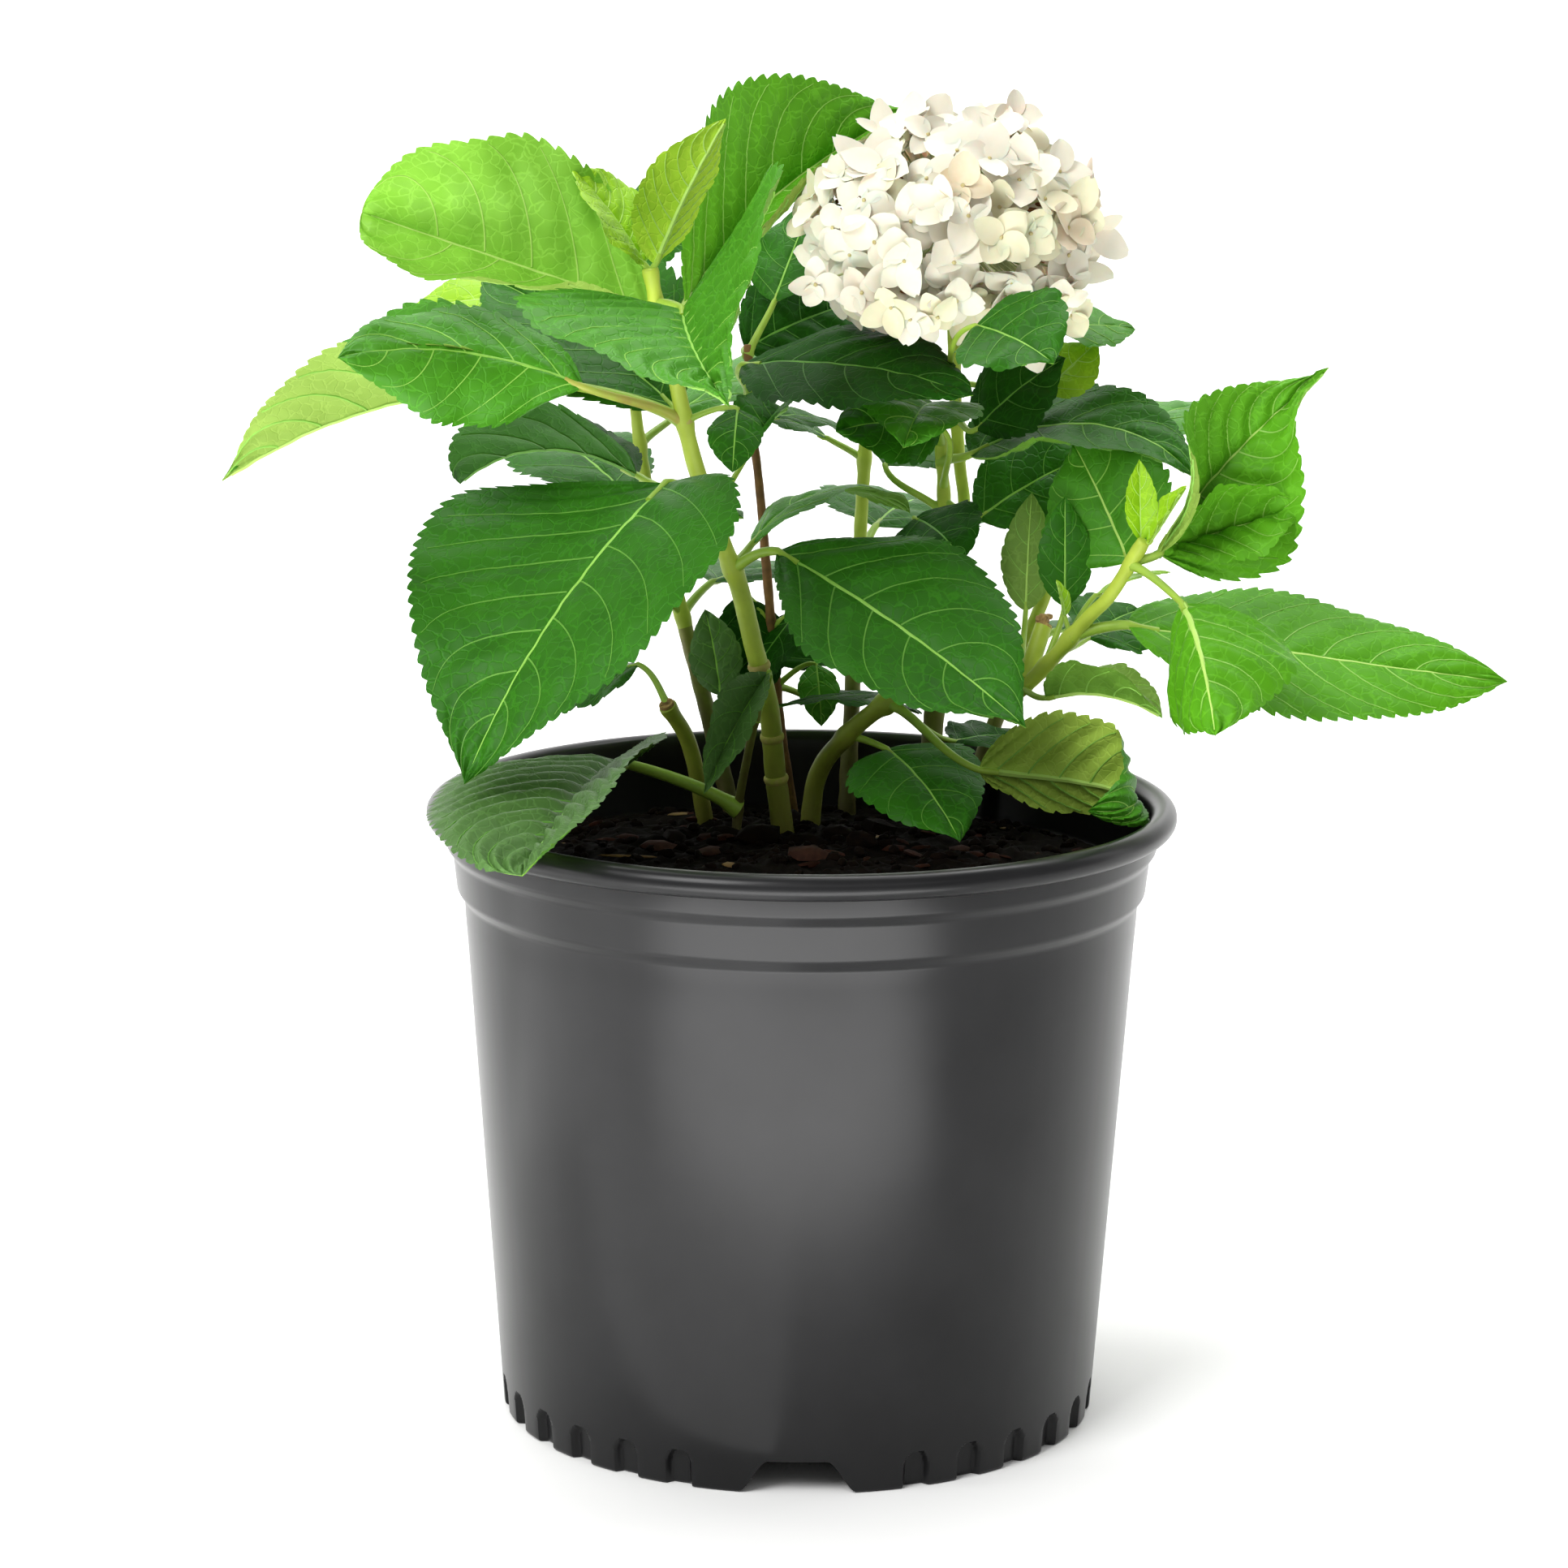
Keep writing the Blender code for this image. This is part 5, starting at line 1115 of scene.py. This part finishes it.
def floret(heap, place, way, wide, turn, rng):
    """Four sepals in two pairs round a bead, the upper pair resting on the lower one."""
    start = unit(np.cross(way, (0.31, 0.2, 0.93)))
    other = np.cross(way, start)
    open_by = rng.uniform(-0.25, 0.55)
    for k in range(4):
        t = math.radians(turn + 90 * k + rng.uniform(-13, 13))
        side = start * math.cos(t) + other * math.sin(t)
        shape = (rng.uniform(-0.2, 0.9), open_by + rng.uniform(-0.28, 0.28), rng.uniform(-0.9, 0.6),
                 rng.uniform(-0.3, 0.3), rng.choice((0.0, 0.0, -0.07, 0.07)))
        heap.grid(sepal(place + way * (0.8 * (k % 2)), way, side, wide / 2 * rng.uniform(0.98, 1.22),
                        wide * rng.uniform(0.44, 0.60), shape), "bloom_head")

# %% Where the florets sit
FLORETS = 138
GOLDEN = math.pi * (3 - math.sqrt(5))
FLORET_WIDE = 21                # mm
HANGING = ((31, -4, 416), (38, -7, 411), (48, -6, 413), (55, -5, 418), (3, 6, 423), (20, -1, 419),
           (94, 4, 419), (97, 8, 413), (82, 4, 404), (43, 2, 409))


def floret_places(count, seed):
    """Where florets sit over the head: centre, outward direction, breadth and a turn."""
    rng = random.Random(seed)
    for k in range(count):
        z = 1 - 1.84 * (k + 0.5) / count
        ring, t = math.sqrt(1 - z * z), GOLDEN * k
        way = unit(np.array([ring * math.cos(t), ring * math.sin(t), z]) + jitter(rng, 0.10))
        place = BLOOM_CENTRE + way * BLOOM_HALF * rng.uniform(0.86, 0.97)
        outward = unit(unit(way / BLOOM_HALF) + jitter(rng, 0.3))
        yield place, outward, FLORET_WIDE * rng.uniform(0.8, 1.05), rng.uniform(0, 90)


places = list(floret_places(FLORETS, 7))
# One floret has outgrown the dome at the top right.
places.append((np.array([77.0, 30.0, 485.0]), np.array([0.25, -0.75, 0.6]), 15, 20))
# Others hang from its lower edge, where the stems have slackened.
for x, y, z in HANGING:
    places.append((np.array([x, y, z], float), np.array([0.004 * (x - 50), -0.8, -0.5]), 16, x * 7))

# %% Strew the florets over the dome
# Sepals are thin and papery: matt, very pale, with a little sheen at a glancing view.
PETAL_FINISH = {
    "white": finish("sepal_papery_white", "#e6e0cf", "#dcd6c3", 0.62, 6, 0.06, mottle=0.8, sheen=0.2),
    "cream": finish("sepal_papery_cream", "#dfdabd", "#d5d0ad", 0.62, 6, 0.06, mottle=0.8, sheen=0.2),
    "blush": finish("sepal_papery_blush", "#e3d8c8", "#dbcebc", 0.62, 6, 0.06, mottle=0.8, sheen=0.2),
    "aged": finish("sepal_papery_aged", "#dfd2b8", "#d4c3a2", 0.65, 5, 0.08, mottle=0.7, sheen=0.2),
}
for mat in PETAL_FINISH.values():
    milky = mat.node_tree.nodes["Principled BSDF"].inputs
    milky["Subsurface Weight"].default_value = 0.3
    milky["Subsurface Scale"].default_value = 3 * MM
petal_heaps = heaps_for(PETAL_FINISH)
bead_heap, pedicel_heap, brown_heap = Heap(), Heap(), Heap()
rng = random.Random(31)
for place, way, wide, turn in places:
    off = (place - BLOOM_CENTRE) / BLOOM_HALF
    sunny = max(0, off[0] + off[2])
    tint = rng.choices(list(PETAL_FINISH), (7, 2 + sunny, 0.6 + 0.8 * sunny, 0.3 + 0.5 * sunny))[0]
    # The head is lumpy: forks of the stem push whole tufts out, and others sink between them.
    tuft = noise.noise(Vector(off * 2.1 + (5.0, 1.0, 3.0)))
    place = place + way * (1.6 * tuft - rng.uniform(0.0, 5.0))
    # Florets turn from the foliage behind them towards the open side.
    way = unit(way + jitter(rng, 0.36) + (0, -0.4 * (way[1] < 0.3), 0))
    floret(petal_heaps[tint], place, way, wide * 1.12, turn, rng)
    pebble(bead_heap, place + way * 0.9, (0.8, 0.8), (0, 0), 0.8, rng, "bloom_head")
    inner = BLOOM_CENTRE + (place - BLOOM_CENTRE) * 0.35
    round_bar(pedicel_heap, [inner, (inner + place) / 2 + way * 1.5, place], (0.7, 0.5, 0.4), 5, "bloom_head")
    for _ in range(rng.choice((0, 0, 1, 2))):
        spot = place - way * 8 + jitter(rng, 6)
        pebble(brown_heap, spot, (2.6, 0.9), (rng.uniform(0, 6), rng.uniform(-1, 1)), 0.9, rng, "bloom_head")
print("florets:", len(places))
for tint, heap in petal_heaps.items():
    grow_object("sepals_" + tint, heap, PETAL_FINISH[tint], sharp=180)
for name, heap, mat in (
        ("withered_florets", brown_heap, finish("floret_withered_dry", "#8a5a2c", "#5c3818", 0.8, 2, 0.1)),
        ("flower_beads", bead_heap, finish("flower_bead", "#d0c894", "#a8965e", 0.6, 2, 0.1)),
        ("flower_stems", pedicel_heap, finish("flower_stem", "#c4cb98", "#b0ba80", 0.55, 4, 0.05))):
    grow_object(name, heap, mat)

# %% [markdown]
# ## Floor, light and camera
# A plant photographs best in soft light from above and in front, with tall panels at the sides that
# draw long highlights on the black pot. The floor is pale and matt, and curves up far behind.

# %% Floor
# In metres: where the floor starts to curve, by how much, and how high it goes.
SWEEP_START, SWEEP_REACH, BACKDROP = 1.6, 0.9, 4.0
floor_mesh = bpy.data.meshes.new("studio_floor")
curve = [(SWEEP_START + SWEEP_REACH * math.sin(t), SWEEP_REACH * (1 - math.cos(t)))
         for t in np.linspace(0.1, math.pi / 2, 14)]
sweep = [(-4.0, 0.0), (SWEEP_START, 0.0)] + curve + [(SWEEP_START + SWEEP_REACH, BACKDROP)]
floor_mesh.from_pydata([(x, y, z) for y, z in sweep for x in (-5.0, 5.0)], [],
                       [(2 * i, 2 * i + 1, 2 * i + 3, 2 * i + 2) for i in range(len(sweep) - 1)])
floor_mesh.shade_smooth()
floor = bpy.data.objects.new("studio_floor", floor_mesh)
bpy.context.scene.collection.objects.link(floor)
floor_mesh.materials.append(finish("paper_matt_white", "#fafaf9", "#f8f8f7", 0.9, 200, 0.01, gloss=0.1))

# %% Light
def panel(name, at, aim_at, size, watts):
    """A soft rectangular light that faces a point."""
    lamp = bpy.data.lights.new(name, "AREA")
    lamp.shape = "RECTANGLE"
    lamp.size, lamp.size_y = size
    lamp.energy = watts
    obj = bpy.data.objects.new(name, lamp)
    obj.location = at
    obj.rotation_euler = (Vector(aim_at) - Vector(at)).to_track_quat("-Z", "Y").to_euler()
    obj.visible_camera = False
    bpy.context.scene.collection.objects.link(obj)


def card(name, x, y, size, watts):
    """A soft light that lies on the floor and faces up."""
    panel(name, (x, y, 0.012), (x, y, 1.0), size, watts)


world = bpy.data.worlds.new("studio_air")
world.use_nodes = True
air = world.node_tree.nodes["Background"].inputs
air["Color"].default_value = linear("#ffffff")
air["Strength"].default_value = 0.40
bpy.context.scene.world = world
panel("key_panel", (-1.1, -1.5, 1.9), (0, 0, 0.3), (1.1, 1.1), 44)
panel("left_strip", (-1.25, -0.45, 0.6), (0, 0, 0.2), (0.30, 1.5), 5)
panel("right_strip", (1.15, 0.35, 0.7), (0, 0, 0.2), (0.30, 1.5), 2)
panel("top_panel", (0.1, 0.5, 2.0), (0, 0, 0.3), (1.6, 1.4), 16)
panel("backdrop_panel", (0.0, 0.9, 2.3), (0, 2.3, 0.6), (3.0, 0.8), 60)
card("front_card", -0.03, -0.465, (0.66, 0.31), 4.1)
# Cards laid one over the other, each smaller, draw a highlight on the foot of the pot that has no edge.
for share in (1.0, 0.84, 0.68, 0.52, 0.36, 0.2):
    card("near_card", -0.29, -0.24, (0.56 * share, 0.24 * share), 0.50 * share ** 2)
panel("floor_panel", (0.0, -0.95, 0.75), (0.0, -0.95, 0.0), (1.8, 0.5), 2.2)
card("left_card", -0.52, -0.12, (0.30, 0.50), 0.6)
bpy.context.scene.view_settings.view_transform = "Standard"
bpy.context.scene.view_settings.look = "None"

# %% Camera
LENS = 104.29                   # mm, for a sensor 36 mm wide
CAMERA_AT = (-0.0067, -1.663, 0.5727)       # metres
CAMERA_TILT, CAMERA_ROLL = math.radians(78.627), 0.0075
lens = bpy.data.cameras.new("studio_camera")
lens.sensor_fit = "HORIZONTAL"
lens.sensor_width = 36
lens.lens = LENS
lens.clip_start = 0.05
camera = bpy.data.objects.new("studio_camera", lens)
camera.matrix_world = (Matrix.Translation(CAMERA_AT) @ Matrix.Rotation(CAMERA_TILT, 4, "X")
                       @ Matrix.Rotation(CAMERA_ROLL, 4, "Z"))
bpy.context.scene.collection.objects.link(camera)
bpy.context.scene.camera = camera
